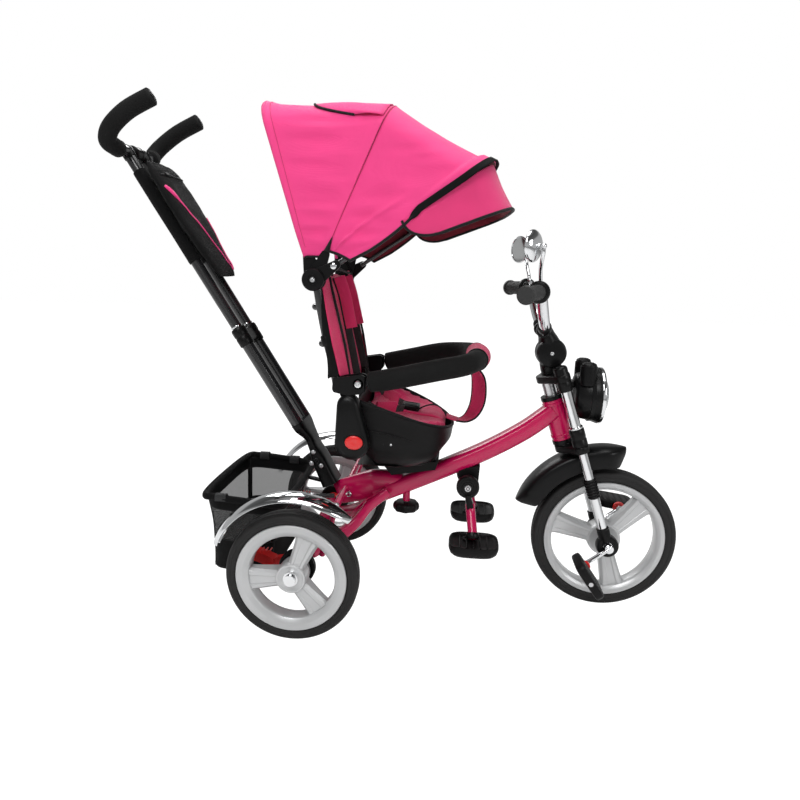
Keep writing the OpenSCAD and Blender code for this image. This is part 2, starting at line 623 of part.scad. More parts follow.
// The flat foot of a bow, with its eye on the hub pin
module cross_leg(a, y1, y2) difference() {
    union() {
        cross_pin(hood_at, y1, y2, 17);
        translate([hood_at[0], (y1 + y2) / 2, hood_at[1]]) rotate([0, a, 0]) translate([0, 0, 33])
            cube([12, y2 - y1, 34], center = true);
    }
    cross_pin(hood_at, y1 - 1, y2 + 1, 5 + run);
}
module canopy_mid_bow() color([0.06, 0.06, 0.06]) at_axle() {
    hood_bow(mid_bow_a);
    both() cross_leg(mid_bow_a, 153.3, 158.7);
}
module canopy_front_bow() color([0.06, 0.06, 0.06]) at_axle() {
    hood_bow(front_bow_a);
    both() cross_leg(front_bow_a, 159, 164.7);
}
module canopy_rear_fabric() color([0.93, 0.10, 0.45]) at_axle() hood_panel(rear_bow_a,
    mid_bow_a - 0.2, 6, 50, 60);
module canopy_front_fabric() color([0.93, 0.10, 0.45]) at_axle() hood_panel(mid_bow_a + 0.2,
    front_bow_a - 0.2, 5, 60, 78);
module canopy_visor() color([0.93, 0.10, 0.45]) at_axle() hood_panel(front_bow_a + 0.2, visor_a, 3,
    170, 200);

// ---- Brakes ----
module brake_pedal() {
    difference() {
        union() {
            cross_pin([0, rear_r], 160, 178, 20);
            side_plate(162, 176) polygon([[0, 112], [-60, 116], [-60, 132], [0, 146]]);
            side_plate(157, 180) polygon([[-50, 134], [-90, 150], [-94, 143], [-92, 128], [-52, 114]]);
        }
        cross_pin([0, rear_r], 150, 190, 14 + clear);
    }
}
module brake_pedal_left() color([0.80, 0.06, 0.06]) at_axle() brake_pedal();
module brake_pedal_right() color([0.80, 0.06, 0.06]) at_axle() mirror([0, 1, 0]) brake_pedal();

// ---- Screws and nuts ----
module fasteners() color("silver") at_axle() {
    both() {
        difference() {
            cross_pin([0, rear_r], rear_y + 23.6, rear_y + 30, 11);
            cross_pin([0, rear_r], rear_y, rear_y + 26.2, axle_r + run);
        }
        side_plate(36.2, 39) translate([50, 216]) circle(5);
        cross_pin([2, 296], 30.2, 33, 5);
    }
}

main_tube();
rear_subframe();
rear_axle();
headset_cups();
rear_fenders();
brake_housings();
basket_frame();
basket_bag();
push_socket();
push_lower_tubes();
seat_base();
seat_shell();
seat_cushion();
waist_belt();
footrest_bracket();
fasteners();
fork_crown();
fork_tubes();
fork_sleeves();
stem_cover();
handlebar();
grips();
headlight_housing();
headlight_lens();
front_fender();
mirror_left();
mirror_right();
headlight_button_left();
headlight_button_right();
front_tyre();
front_rim();
crank();
pedal_left();
pedal_right();
rear_tyre_left();
rear_tyre_right();
rear_rim_left();
rear_rim_right();
recline_housings();
back_frame();
back_cushion();
harness();
canopy_rear_bow();
canopy_rear_fabric();
canopy_mid_bow();
canopy_front_fabric();
canopy_front_bow();
canopy_visor();
recline_button_left();
recline_button_right();
safety_bar();
crotch_strap();
push_upper_tubes();
handle_horns();
handle_bag();
brake_pedal_left();
brake_pedal_right();
footrest_left();
footrest_right();
seat_knob();
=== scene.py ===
"""Looks for the children's tricycle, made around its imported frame.

Points are written in millimetres as (forward of the rear axle, to the rider's left, up from the floor)
and turned into the frame's metres by at(). "right" is the side that the camera sees.
"""
import math

import bmesh
import bpy
import numpy as np
from mathutils import Euler, Matrix, Vector, noise


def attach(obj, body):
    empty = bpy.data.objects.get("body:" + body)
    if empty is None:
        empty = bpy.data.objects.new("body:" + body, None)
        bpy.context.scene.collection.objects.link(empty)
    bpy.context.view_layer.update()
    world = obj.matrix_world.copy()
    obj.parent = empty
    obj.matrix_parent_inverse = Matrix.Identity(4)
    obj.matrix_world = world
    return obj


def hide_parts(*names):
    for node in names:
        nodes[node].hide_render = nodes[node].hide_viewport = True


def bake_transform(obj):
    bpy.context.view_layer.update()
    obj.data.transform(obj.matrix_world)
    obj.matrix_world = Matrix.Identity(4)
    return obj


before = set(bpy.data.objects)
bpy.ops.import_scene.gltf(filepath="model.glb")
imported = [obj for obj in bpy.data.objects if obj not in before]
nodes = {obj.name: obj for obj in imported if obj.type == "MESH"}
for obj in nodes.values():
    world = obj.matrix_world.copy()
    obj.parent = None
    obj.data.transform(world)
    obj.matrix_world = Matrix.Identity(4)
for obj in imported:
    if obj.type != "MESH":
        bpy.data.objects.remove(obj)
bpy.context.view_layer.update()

# ---------------------------------------------------------------- driving dimensions, mm
AXLE_X = -183.6                      # the rear axle's place in the frame
REAR_R, FRONT_R = 128.0, 151.0       # wheel radii
TYRE_W = 44.0
REAR_Y = 225.0                       # rear wheels' centre planes
WHEELBASE = 622.0
REAR_AXLE, FRONT_AXLE = (0, 0, REAR_R), (WHEELBASE, 0, FRONT_R)
RAKE = math.radians(18.6)
FORK_OFFSET, FORK_HALF = 27.0, 50.0
HEAD_Z = 443.0
HEAD_X = WHEELBASE - (FORK_OFFSET + (HEAD_Z - FRONT_R) * math.sin(RAKE)) / math.cos(RAKE)
PUSH_AT, PUSH_LEAN, PUSH_HALF, PUSH_LEN = (-34.0, 368.0), math.radians(32.3), 33.0, 653.0
HOOD_AT = (26.0, 682.0)              # canopy hub
REAR_BOW, MID_BOW, FRONT_BOW, VISOR = -17.0, 24.0, 56.0, 69.0   # bow leans, degrees
HOOD_HALF = 164.0
RECLINE_AT, ARM_AT, ARM_Y = (104.0, 377.0), (107.0, 489.0), 140.0
FOOT_AT = (328.0, 261.0)
KNOB_AT = (196, 0, 0)
BACK_LOW, BACK_HIGH = 434, 698          # the back cushion's foot and top
CRANK_LEN, CRANK_A = 62.0, math.radians(38)
RIM_SHARE = 0.835                    # rim radius over tyre radius
SIDES = (("left", 1), ("right", -1))
ALONG_Y, UP = (0, 1, 0), (0, 0, 1)


def at(points):
    """Millimetres from the rear axle's ground point -> metres in the frame."""
    return (np.asarray(points, float) + (AXLE_X, 0, 0)) / 1000.0


# ---------------------------------------------------------------- materials
def shader_nodes(tree, *kinds):
    """Adds shader nodes of these kinds to a node tree."""
    return [tree.nodes.new("ShaderNode" + kind) for kind in kinds]


def material(name, color, rough, metal=0.0, coat=0.0, sheen=0.0, spec=0.5, bump=None, vary=0.0, alpha=1.0,
             transmission=0.0, rough_vary=0.0):
    """A procedural material. bump is (kind, scale per metre, depth in metres); vary and rough_vary are how
    much the colour and the roughness wander."""
    mat = bpy.data.materials.new(name)
    mat.use_nodes = True
    nt = mat.node_tree
    bsdf = nt.nodes["Principled BSDF"]
    for key, value in (("Base Color", (*color, 1)), ("Roughness", rough), ("Metallic", metal),
                       ("Coat Weight", coat), ("Coat Roughness", 0.06), ("Sheen Weight", sheen),
                       ("Sheen Roughness", 0.4), ("Specular IOR Level", spec), ("Alpha", alpha),
                       ("Transmission Weight", transmission)):
        bsdf.inputs[key].default_value = value
    coords = shader_nodes(nt, "TexCoord")[0].outputs["Object"]

    def texture(kind, scale, **settings):
        tex, = shader_nodes(nt, kind)
        nt.links.new(coords, tex.inputs["Vector"])
        for key, value in (("Scale", scale), *settings.items()):
            tex.inputs[key].default_value = value
        return tex

    if vary:
        cloud, (ramp,) = texture("TexNoise", 14.0, Detail=6.0), shader_nodes(nt, "ValToRGB")
        for end, place, factor in ((0, 0.3, 1 - vary), (1, 0.7, 1 + vary)):
            ramp.color_ramp.elements[end].position = place
            ramp.color_ramp.elements[end].color = (*[min(1, c * factor) for c in color], 1)
        nt.links.new(cloud.outputs["Fac"], ramp.inputs[0])
        nt.links.new(ramp.outputs[0], bsdf.inputs["Base Color"])
    if rough_vary:
        cloud, (spread,) = texture("TexNoise", 30.0, Detail=8.0), shader_nodes(nt, "MapRange")
        spread.inputs["To Min"].default_value = max(0.0, rough - rough_vary)
        spread.inputs["To Max"].default_value = rough + rough_vary
        nt.links.new(cloud.outputs["Fac"], spread.inputs["Value"])
        nt.links.new(spread.outputs[0], bsdf.inputs["Roughness"])
    if bump:
        kind, scale, depth = bump
        relief, = shader_nodes(nt, "Bump")
        relief.inputs["Distance"].default_value = depth
        relief.inputs["Strength"].default_value = 1.0
        if kind == "weave":
            height = None
            for axis in ("X", "Y", "Z"):
                wave = texture("TexWave", scale, Distortion=0.6)
                wave.bands_direction = axis
                if height is None:
                    height = wave.outputs["Fac"]
                else:
                    add, = shader_nodes(nt, "Math")
                    add.operation = "ADD"
                    nt.links.new(height, add.inputs[0])
                    nt.links.new(wave.outputs["Fac"], add.inputs[1])
                    height = add.outputs[0]
        elif kind == "grain":
            height = texture("TexVoronoi", scale).outputs["Distance"]
        else:
            height = texture("TexNoise", scale, Detail=5.0).outputs["Fac"]
        nt.links.new(height, relief.inputs["Height"])
        nt.links.new(relief.outputs[0], bsdf.inputs["Normal"])
    return mat


PAINT = material("magenta_paint", (0.46, 0.003, 0.070), 0.24, coat=0.35, spec=0.35, vary=0.06,
                 bump=("orange_peel", 220, 0.00004))
CHROME = material("chrome", (0.72, 0.73, 0.74), 0.07, metal=1.0, rough_vary=0.03)
STEEL = material("zinc_steel", (0.55, 0.55, 0.56), 0.3, metal=1.0, rough_vary=0.08)
BLACK_PAINT = material("black_paint", (0.012, 0.012, 0.013), 0.22, coat=0.5, rough_vary=0.06)
BLACK_PLASTIC = material("black_plastic", (0.0045, 0.0042, 0.0044), 0.42, spec=0.14, vary=0.12,
                         rough_vary=0.06, bump=("grain", 900, 0.00008))
SATIN_PLASTIC = material("satin_plastic", (0.004, 0.004, 0.0042), 0.3, spec=0.16, rough_vary=0.05,
                         bump=("grain", 1300, 0.00004))
SILVER = material("silver_paint", (0.47, 0.475, 0.48), 0.36, metal=0.35, coat=0.35, vary=0.04,
                  rough_vary=0.05)
TYRE = material("tyre_rubber", (0.010, 0.0095, 0.0095), 0.62, spec=0.3, vary=0.2, rough_vary=0.08,
                bump=("noise", 700, 0.00015))
FOAM = material("foam_sleeve", (0.0065, 0.0065, 0.0065), 0.85, spec=0.15, sheen=0.05, vary=0.15,
                bump=("noise", 900, 0.00035))
GRIP = material("grip_rubber", (0.014, 0.014, 0.014), 0.6, vary=0.1, bump=("noise", 800, 0.0001))
RED = material("red_plastic", (0.62, 0.012, 0.012), 0.3, coat=0.3, vary=0.05)
PINK = material("pink_canopy", (0.80, 0.034, 0.215), 0.62, sheen=0.25, vary=0.035,
                bump=("weave", 420, 0.00012))
PINK_DARK = material("pink_seat_fabric", (0.66, 0.013, 0.11), 0.68, sheen=0.2, vary=0.06,
                     bump=("weave", 420, 0.00016))
PINK_VISOR = material("pink_visor", (0.66, 0.020, 0.15), 0.62, sheen=0.25, vary=0.05,
                      bump=("weave", 420, 0.00012))
PINK_SEAM = material("pink_seam", (0.50, 0.012, 0.10), 0.7, sheen=0.1, bump=("weave", 600, 0.0001))
LINING = material("lining_fabric", (0.16, 0.003, 0.016), 0.8, sheen=0.1, vary=0.08,
                  bump=("weave", 420, 0.00012))
BLACK_FABRIC = material("black_fabric", (0.004, 0.004, 0.0042), 0.8, spec=0.12, sheen=0.03, vary=0.2,
                        bump=("weave", 380, 0.0002))
PIPING = material("black_piping", (0.006, 0.006, 0.0065), 0.6, spec=0.2, sheen=0.1,
                  bump=("weave", 700, 0.0001))
WEBBING = material("webbing", (0.010, 0.010, 0.011), 0.7, sheen=0.15, bump=("weave", 500, 0.0003))
NET = material("basket_net", (0.035, 0.035, 0.035), 0.7, bump=("weave", 300, 0.0003), alpha=0.58)
GLASS = material("lens_clear", (0.86, 0.93, 0.94), 0.05, coat=1.0, transmission=0.85)
MIRROR = material("mirror_glass", (0.62, 0.63, 0.63), 0.12, metal=1.0)


# ---------------------------------------------------------------- mesh helpers
def mesh_object(name, verts, faces):
    """A new object in the scene, from points in metres."""
    mesh = bpy.data.meshes.new(name)
    mesh.from_pydata([tuple(v) for v in verts], [], [tuple(int(i) for i in f) for f in faces])
    obj = bpy.data.objects.new(name, mesh)
    bpy.context.scene.collection.objects.link(obj)
    return obj


def modify(obj, name, kind, **settings):
    """Adds a modifier with these settings."""
    mod = obj.modifiers.new(name, kind)
    for key, value in settings.items():
        setattr(mod, key, value)
    return mod


def piece(name, verts, faces, mat, body, smooth=45, bevel=0.0, replace=(), slot=None, subdiv=0, solid=0.0):
    """A piece from millimetre points. bevel and solid are in mm; smooth is the sharp angle in degrees."""
    obj = mesh_object(name, at(verts), faces)
    mesh = obj.data
    mesh.validate()
    mesh.materials.append(mat)
    outward(mesh)
    mesh.polygons.foreach_set("use_smooth", [smooth > 0] * len(mesh.polygons))
    if 0 < smooth < 180:
        mesh.set_sharp_from_angle(angle=math.radians(smooth))
    if solid:
        modify(obj, "thickness", "SOLIDIFY", thickness=solid / 1000, offset=0)
    if bevel:
        modify(obj, "edges", "BEVEL", width=bevel / 1000, segments=3, limit_method="ANGLE",
               angle_limit=math.radians(38), harden_normals=False)
    if subdiv:
        modify(obj, "smooth", "SUBSURF", levels=subdiv, render_levels=subdiv)
    if body:
        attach(obj, body)
    if replace:
        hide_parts(*([replace] if isinstance(replace, str) else replace))
    return obj


def outward(mesh, gap=None):
    """Joins points closer than gap, and turns every face's normal outwards."""
    bm = bmesh.new()
    bm.from_mesh(mesh)
    if gap:
        bmesh.ops.remove_doubles(bm, verts=bm.verts, dist=gap)
    bmesh.ops.recalc_face_normals(bm, faces=bm.faces)
    bm.to_mesh(mesh)
    bm.free()


def smooth_path(points, steps):
    """A Catmull-Rom curve through the points."""
    p = np.asarray(points, float)
    rows = []
    for i in range(len(p) - 1):
        a, b, c, d = p[max(i - 1, 0)], p[i], p[i + 1], p[min(i + 2, len(p) - 1)]
        for k in range(steps):
            t = k / steps
            rows.append(0.5 * (2 * b + (c - a) * t + (2 * a - 5 * b + 4 * c - d) * t * t
                               + (3 * b - 3 * c + d - a) * t ** 3))
    rows.append(p[-1])
    return np.array(rows)


def unit(v):
    return v / (np.linalg.norm(v) + 1e-12)


def frames(path, ref=None):
    """Across and up vectors along a path; without ref they turn as little as they can."""
    n = len(path)
    tangents = [unit(path[min(i + 1, n - 1)] - path[max(i - 1, 0)]) for i in range(n)]
    if ref is None:
        t0 = tangents[0]
        guess = np.array((0.0, 0, 1)) if abs(t0[2]) < 0.9 else np.array((0.0, 1, 0))
        side = unit(np.cross(t0, guess))
        rows = []
        for t in tangents:
            side = unit(side - t * np.dot(side, t))
            rows.append((t, side, np.cross(side, t)))
        return rows
    return [(t, unit(np.cross(t, ref)), np.cross(unit(np.cross(t, ref)), t)) for t in tangents]


def ring_faces(rings, m, closed=False, caps=True):
    """Faces between stacked rings of m points; closed joins the last ring to the first, caps the ends."""
    last = rings if closed else rings - 1
    faces = [(i * m + j, i * m + (j + 1) % m, ((i + 1) % rings) * m + (j + 1) % m,
              ((i + 1) % rings) * m + j) for i in range(last) for j in range(m)]
    if caps and not closed:
        faces += [tuple(range(m)), tuple(range((rings - 1) * m, rings * m))]
    return faces


def grid_faces(rows, cols):
    return [(i * cols + j, i * cols + j + 1, (i + 1) * cols + j + 1, (i + 1) * cols + j)
            for i in range(rows - 1) for j in range(cols - 1)]


def circle(n):
    """The (cosine, sine) pairs of n points round a circle."""
    return [(math.cos(2 * math.pi * k / n), math.sin(2 * math.pi * k / n)) for k in range(n)]


def both_sides(half):
    """A route along the left side to the middle, then back along the right side."""
    return half + [(x, -y, z) for x, y, z in reversed(half[:-1])]


def mirrored(half):
    """A half profile [(radius, side)] with its mirror image."""
    return half + [(r, -side) for r, side in reversed(half)]


def tube(name, points, radius, mat, body, sides=18, steps=5, dome=0.0, straight=False, closed=False, **more):
    """A round bar along a smooth path; dome is how far its ends bulge, as a share of the radius."""
    path = np.asarray(points, float) if straight else smooth_path(points, steps)
    count = len(path)
    radii = np.interp(np.linspace(0, 1, count), np.linspace(0, 1, len(np.atleast_1d(radius))),
                      np.atleast_1d(radius).astype(float))
    rows = frames(path)
    verts = []

    def ring(centre, row, r):
        verts.extend(centre + r * (c * row[1] + s * row[2]) for c, s in circle(sides))

    start = [] if closed or not dome else [(math.sin(a), math.cos(a)) for a in np.linspace(1.45, 0.25, 5)]
    for s, c in start:
        ring(path[0] - rows[0][0] * s * dome * radii[0], rows[0], radii[0] * c)
    for i in range(count):
        ring(path[i], rows[i], radii[i])
    for s, c in reversed(start):
        ring(path[-1] + rows[-1][0] * s * dome * radii[-1], rows[-1], radii[-1] * c)
    return piece(name, verts, ring_faces(len(verts) // sides, sides, closed), mat, body, **more)


def sweep(name, points, outline, ref, mat, body, steps=5, sizes=None, closed=False, **more):
    """An outline [(across, up)] swept along a path; sizes gives (width, height) factors at its points."""
    path = smooth_path(points, steps)
    rows = frames(path, np.asarray(ref, float))
    sizes = [(1, 1)] * len(points) if sizes is None else sizes
    grid = np.linspace(0, 1, len(points))
    here = np.linspace(0, 1, len(path))
    ws = np.interp(here, grid, [s[0] for s in sizes])
    hs = np.interp(here, grid, [s[1] for s in sizes])
    verts = [path[i] + a * ws[i] * rows[i][1] + b * hs[i] * rows[i][2] for i in range(len(path))
             for a, b in outline]
    return piece(name, verts, ring_faces(len(path), len(outline), closed), mat, body, **more)


def oblong(width, height, power=0.6, n=32):
    """A rounded oblong outline from a superellipse."""
    return [(width / 2 * math.copysign(abs(c) ** power, c), height / 2 * math.copysign(abs(s) ** power, s))
            for c, s in circle(n)]


def lathe(name, profile, origin, axis, mat, body, segs=72, closed=True, **more):
    """Turns a profile [(radius, distance along the axis)] about the axis through origin."""
    axis = unit(np.asarray(axis, float))
    side = unit(np.cross(axis, (0.0, 0, 1) if abs(axis[2]) < 0.9 else (1.0, 0, 0)))
    up = np.cross(axis, side)
    m = len(profile)
    verts = []
    for k in range(segs):
        a = 2 * math.pi * k / segs
        out = math.cos(a) * side + math.sin(a) * up
        verts.extend(np.asarray(origin, float) + r * out + h * axis for r, h in profile)
    faces = []
    for k in range(segs):
        for j in range(m if closed else m - 1):
            a, b = k * m + j, k * m + (j + 1) % m
            c, d = ((k + 1) % segs) * m + (j + 1) % m, ((k + 1) % segs) * m + j
            faces.append((a, b, c, d))
    return weld(piece(name, verts, faces, mat, body, **more))


def weld(obj, gap=0.00002):
    """Joins points that lie on each other, such as a lathe's at its axis."""
    outward(obj.data, gap)
    obj.data.set_sharp_from_angle(angle=math.radians(40))
    return obj


def plate(name, outline, y1, y2, mat, body, bevel=1.0, **more):
    """An outline [(x, z)] given the thickness from y1 to y2."""
    m = len(outline)
    verts = [(x, y, z) for y in (y1, y2) for x, z in outline]
    faces = [tuple(range(m)), tuple(range(m, 2 * m))] + [(j, (j + 1) % m, m + (j + 1) % m, m + j)
            for j in range(m)]
    return piece(name, verts, faces, mat, body, bevel=bevel, **more)


def block(name, size, centre, mat, body, turn=(0, 0, 0), bevel=1.0, **more):
    """A box with rounded edges; turn is in degrees."""
    spin = Euler([math.radians(a) for a in turn]).to_matrix()
    corners = [(sx, sy, sz) for sx in (-1, 1) for sy in (-1, 1) for sz in (-1, 1)]
    verts = [np.asarray(centre, float)
             + np.array(spin @ Vector((c[0] * size[0] / 2, c[1] * size[1] / 2, c[2] * size[2] / 2)))
             for c in corners]
    faces = [(0, 1, 3, 2), (4, 5, 7, 6), (0, 1, 5, 4), (2, 3, 7, 6), (0, 2, 6, 4), (1, 3, 7, 5)]
    return piece(name, verts, faces, mat, body, bevel=bevel, **more)


def grid_sheet(name, grid, mat, body, solid=1.2, **more):
    """A sheet from a grid of points [row][column]."""
    verts = [p for row in grid for p in row]
    return piece(name, verts, grid_faces(len(grid), len(grid[0])), mat, body, solid=solid, smooth=180, **more)


def round_corners(points, radius, n=5):
    """Rounds the corners of an outline of (x, z) points; radius may be one value or one per corner."""
    out = []
    count = len(points)
    radii = [radius] * count if np.isscalar(radius) else radius
    for i, r in enumerate(radii):
        p = np.array(points[i], float)
        a, b = unit(np.array(points[i - 1], float) - p), unit(np.array(points[(i + 1) % count], float) - p)
        start, end = p + a * r, p + b * r
        for k in range(n + 1):
            t = k / n
            out.append(tuple((1 - t) ** 2 * start + 2 * t * (1 - t) * p + t * t * end))
    return out


def screw(name, place, axis, r, mat, body):
    """A domed screw head with a slot ring."""
    return lathe(name, [(0, r * 0.55), (r * 0.45, r * 0.5), (r * 0.5, r * 0.38), (r * 0.62, r * 0.38),
                        (r * 0.8, r * 0.4), (r, r * 0.1), (r, -r * 0.3), (0, -r * 0.3)], place, axis, mat,
                 body, segs=28)


def leaning_point(origin, lean, x, y, z):
    """A point in a frame whose z leans back from upright by an angle, as millimetres in the main frame."""
    c, s = math.cos(lean), math.sin(lean)
    return np.array((origin[0] + x * c - z * s, y, origin[1] + x * s + z * c))


def steer_point(x, y, z):
    """From the steering frame, whose z runs up the steering axis."""
    return leaning_point((HEAD_X, HEAD_Z), RAKE, x, y, z)


def push_point(x, y, z):
    """From the push bar's frame, whose z runs up its tubes."""
    return leaning_point(PUSH_AT, PUSH_LEAN, x, y, z)


STEER_UP = steer_point(0, 0, 1) - steer_point(0, 0, 0)
PUSH_UP = push_point(0, 0, 1) - push_point(0, 0, 0)
PUSH_FORWARD = push_point(1, 0, 0) - push_point(0, 0, 0)


def refinish(node, mat, bevel=0.0):
    """Gives a CAD node its finish, and rounds its sharp edges."""
    obj = nodes[node]
    obj.data.materials.clear()
    obj.data.materials.append(mat)
    if bevel:
        modify(obj, "edges", "BEVEL", width=bevel / 1000, segments=2, limit_method="ANGLE",
               angle_limit=math.radians(45))


# ---------------------------------------------------------------- camera, light and floor
def rot_x(a):
    return Matrix.Rotation(a, 3, "X")


def rot_z(a):
    return Matrix.Rotation(a, 3, "Z")


def camera():
    data = bpy.data.cameras.new("camera")
    data.lens, data.sensor_width = 29.24, 36.0
    cam = bpy.data.objects.new("camera", data)
    bpy.context.scene.collection.objects.link(cam)
    cam.location = at((296.7, -1350.7, 715.5))
    turn = rot_z(math.radians(5.10)) @ rot_x(math.radians(90 - 11.88)) @ rot_z(math.radians(1.54))
    cam.rotation_euler = turn.to_euler()
    bpy.context.scene.camera = cam


def surroundings():
    """A soft grey studio with a dark band above the horizon, which the chrome and the black parts reflect."""
    world = bpy.data.worlds.new("studio")
    world.use_nodes = True
    nt = world.node_tree
    nt.nodes.clear()
    out, grey, ramp, parts, place = shader_nodes(nt, "OutputWorld", "Background", "ValToRGB", "SeparateXYZ",
            "TexCoord")
    nt.links.new(place.outputs["Generated"], parts.inputs[0])
    nt.links.new(parts.outputs["Z"], ramp.inputs[0])
    stops = [(0.0, 0.5), (0.36, 0.42), (0.46, 0.12), (0.75, 0.07), (1.0, 0.4)]
    for height, level in stops[1:-1]:
        ramp.color_ramp.elements.new(height).color = (level, level, level, 1)
    for end in (0, -1):
        ramp.color_ramp.elements[end].color = (*[stops[end][1]] * 3, 1)
    nt.links.new(ramp.outputs[0], grey.inputs["Color"])
    # The camera itself sees plain white
    white, mix, path = shader_nodes(nt, "Background", "MixShader", "LightPath")
    white.inputs["Color"].default_value = (1, 1, 1, 1)
    nt.links.new(path.outputs["Is Camera Ray"], mix.inputs[0])
    nt.links.new(grey.outputs[0], mix.inputs[1])
    nt.links.new(white.outputs[0], mix.inputs[2])
    nt.links.new(mix.outputs[0], out.inputs[0])
    bpy.context.scene.world = world


def lamps():
    for name, place, power, size in (("key", (-0.6, -2.2, 2.6), 52, 1.4),
                                     ("fill", (2.2, -1.6, 1.4), 18, 1.0),
                                     ("back", (-1.2, 2.4, 2.2), 30, 1.4), ("top", (0.1, 0.0, 3.0), 50, 1.8)):
        data = bpy.data.lights.new(name, "AREA")
        data.energy, data.size = power, size
        lamp = bpy.data.objects.new(name, data)
        lamp.location = place
        lamp.rotation_euler = (Vector((0, 0, 0.45)) - Vector(place)).to_track_quat("-Z", "Y").to_euler()
        bpy.context.scene.collection.objects.link(lamp)


def floor():
    """A white floor. Seen directly, it glows under a faint share of its own shading."""
    obj = mesh_object("floor", [(-8, -8, 0), (8, -8, 0), (8, 8, 0), (-8, 8, 0)], [(0, 1, 2, 3)])
    mat = material("floor_white", (0.93, 0.93, 0.93), 0.9, spec=0.1)
    nt = mat.node_tree
    plain, output = nt.nodes["Principled BSDF"], next(n for n in nt.nodes if n.type == "OUTPUT_MATERIAL")
    glow, mix, path, share = shader_nodes(nt, "Emission", "MixShader", "LightPath", "Math")
    share.operation = "MULTIPLY"
    share.inputs[1].default_value = 0.92
    glow.inputs["Strength"].default_value = 1.25
    nt.links.new(path.outputs["Is Camera Ray"], share.inputs[0])
    nt.links.new(share.outputs[0], mix.inputs[0])
    nt.links.new(plain.outputs[0], mix.inputs[1])
    nt.links.new(glow.outputs[0], mix.inputs[2])
    nt.links.new(mix.outputs[0], output.inputs["Surface"])
    obj.data.materials.append(mat)


camera()
surroundings()
lamps()
floor()
bpy.context.scene.view_settings.view_transform = "Standard"


# ---------------------------------------------------------------- wheels
def tyre(name, x, y, r, body, node):
    """A foam tyre with a shallow tread: two edge grooves and a raised crown."""
    w = TYRE_W
    half = [(RIM_SHARE * r, 0.40 * w), ((RIM_SHARE + 0.02) * r, 0.455 * w), (r - 15, 0.488 * w),
            (r - 12.5, 0.475 * w), (r - 11, 0.5 * w), (r - 7.5, 0.5 * w), (r - 4.2, 0.46 * w),
            (r - 2, 0.39 * w), (r - 1.0, 0.33 * w), (r - 2.4, 0.315 * w), (r - 2.4, 0.285 * w),
            (r - 0.6, 0.27 * w), (r, 0.18 * w), (r - 0.1, 0.10 * w), (r - 1.5, 0.085 * w),
            (r - 1.5, 0.055 * w), (r, 0.04 * w)]
    profile = mirrored(half)
    lathe(name, profile, (x, y, r), ALONG_Y, TYRE, body, segs=144, replace=node, slot="tyre_rubber")


def rim(name, x, y, r, hub_r, turn, body, node, bore, deep):
    """A three-spoke rim with the same face on both sides; deep is how far its lip and barrel go in."""
    w = TYRE_W
    out = RIM_SHARE * r - 0.2
    lip, barrel = out - 0.55 * deep, out - deep
    half = [(out, 0.30 * w), (out, 0.46 * w), (out - 1.2, 0.49 * w), (out - 3, 0.49 * w),
            (out - 4, 0.475 * w), (lip + 1, 0.47 * w), (lip - 0.5, 0.45 * w), (barrel + 1.5, 0.37 * w),
            (barrel, 0.33 * w), (barrel - 0.8, 0.12 * w)]
    ring = mirrored(half)
    lathe(name, ring, (x, y, r), ALONG_Y, SILVER, body, segs=144, replace=node, slot="rim_silver")
    face = [(bore, 0.50 * w), (0.30 * hub_r, 0.505 * w), (0.36 * hub_r, 0.47 * w), (0.80 * hub_r, 0.47 * w),
            (0.86 * hub_r, 0.50 * w), (0.95 * hub_r, 0.495 * w), (hub_r, 0.45 * w), (hub_r + 1, 0.20 * w)]
    hub = mirrored(face)
    lathe(name + "_hub", hub, (x, y, r), ALONG_Y, SILVER, body, segs=72, slot="rim_silver")
    for k in range(3):
        a = math.radians(turn + 120 * k)
        out_dir = np.array((math.cos(a), 0, math.sin(a)))
        side = np.array((-math.sin(a), 0, math.cos(a)))
        verts, rings = [], 0
        for t in np.linspace(0, 1, 9):
            rad = hub_r - 7 + (barrel + 2 - hub_r + 7) * t
            half_w = 16.0 + 8.0 * t ** 1.2 + 3.0 * max(0.0, t - 0.85) / 0.15
            lift = 0.43 * w - 0.15 * w * t
            bevel = 5.5
            up = [(-half_w, 0), (-half_w, lift - 7), (-half_w + bevel, lift), (-half_w * 0.42, lift + 0.6),
                  (-half_w * 0.42 + 1.4, lift - 1.1), (half_w * 0.42 - 1.4, lift - 1.1),
                  (half_w * 0.42, lift + 0.6), (half_w - bevel, lift), (half_w, lift - 7), (half_w, 0)]
            section = up + [(u, -v) for u, v in reversed(up) if v]
            centre = np.array((x, y, r)) + out_dir * rad
            verts += [centre + side * u + np.array((0, v, 0)) for u, v in section]
            rings += 1
        faces = ring_faces(rings, len(section))
        piece(f"{name}_spoke{k + 1}", verts, faces, SILVER, body, smooth=24, bevel=0.8, slot="rim_silver")


def hub_cap(name, x, y, z, sign, r, mat, body):
    """A domed cap nut standing out of the hub."""
    lathe(name, [(0, 7.4), (r * 0.5, 6.9), (r * 0.8, 5.2), (r * 0.92, 2.6), (r, 2.0), (r * 1.0, 0.2),
                 (r * 1.35, -0.2), (r * 1.35, -1.6), (0, -1.6)], (x, y, z), (0, sign, 0), mat, body, segs=40)


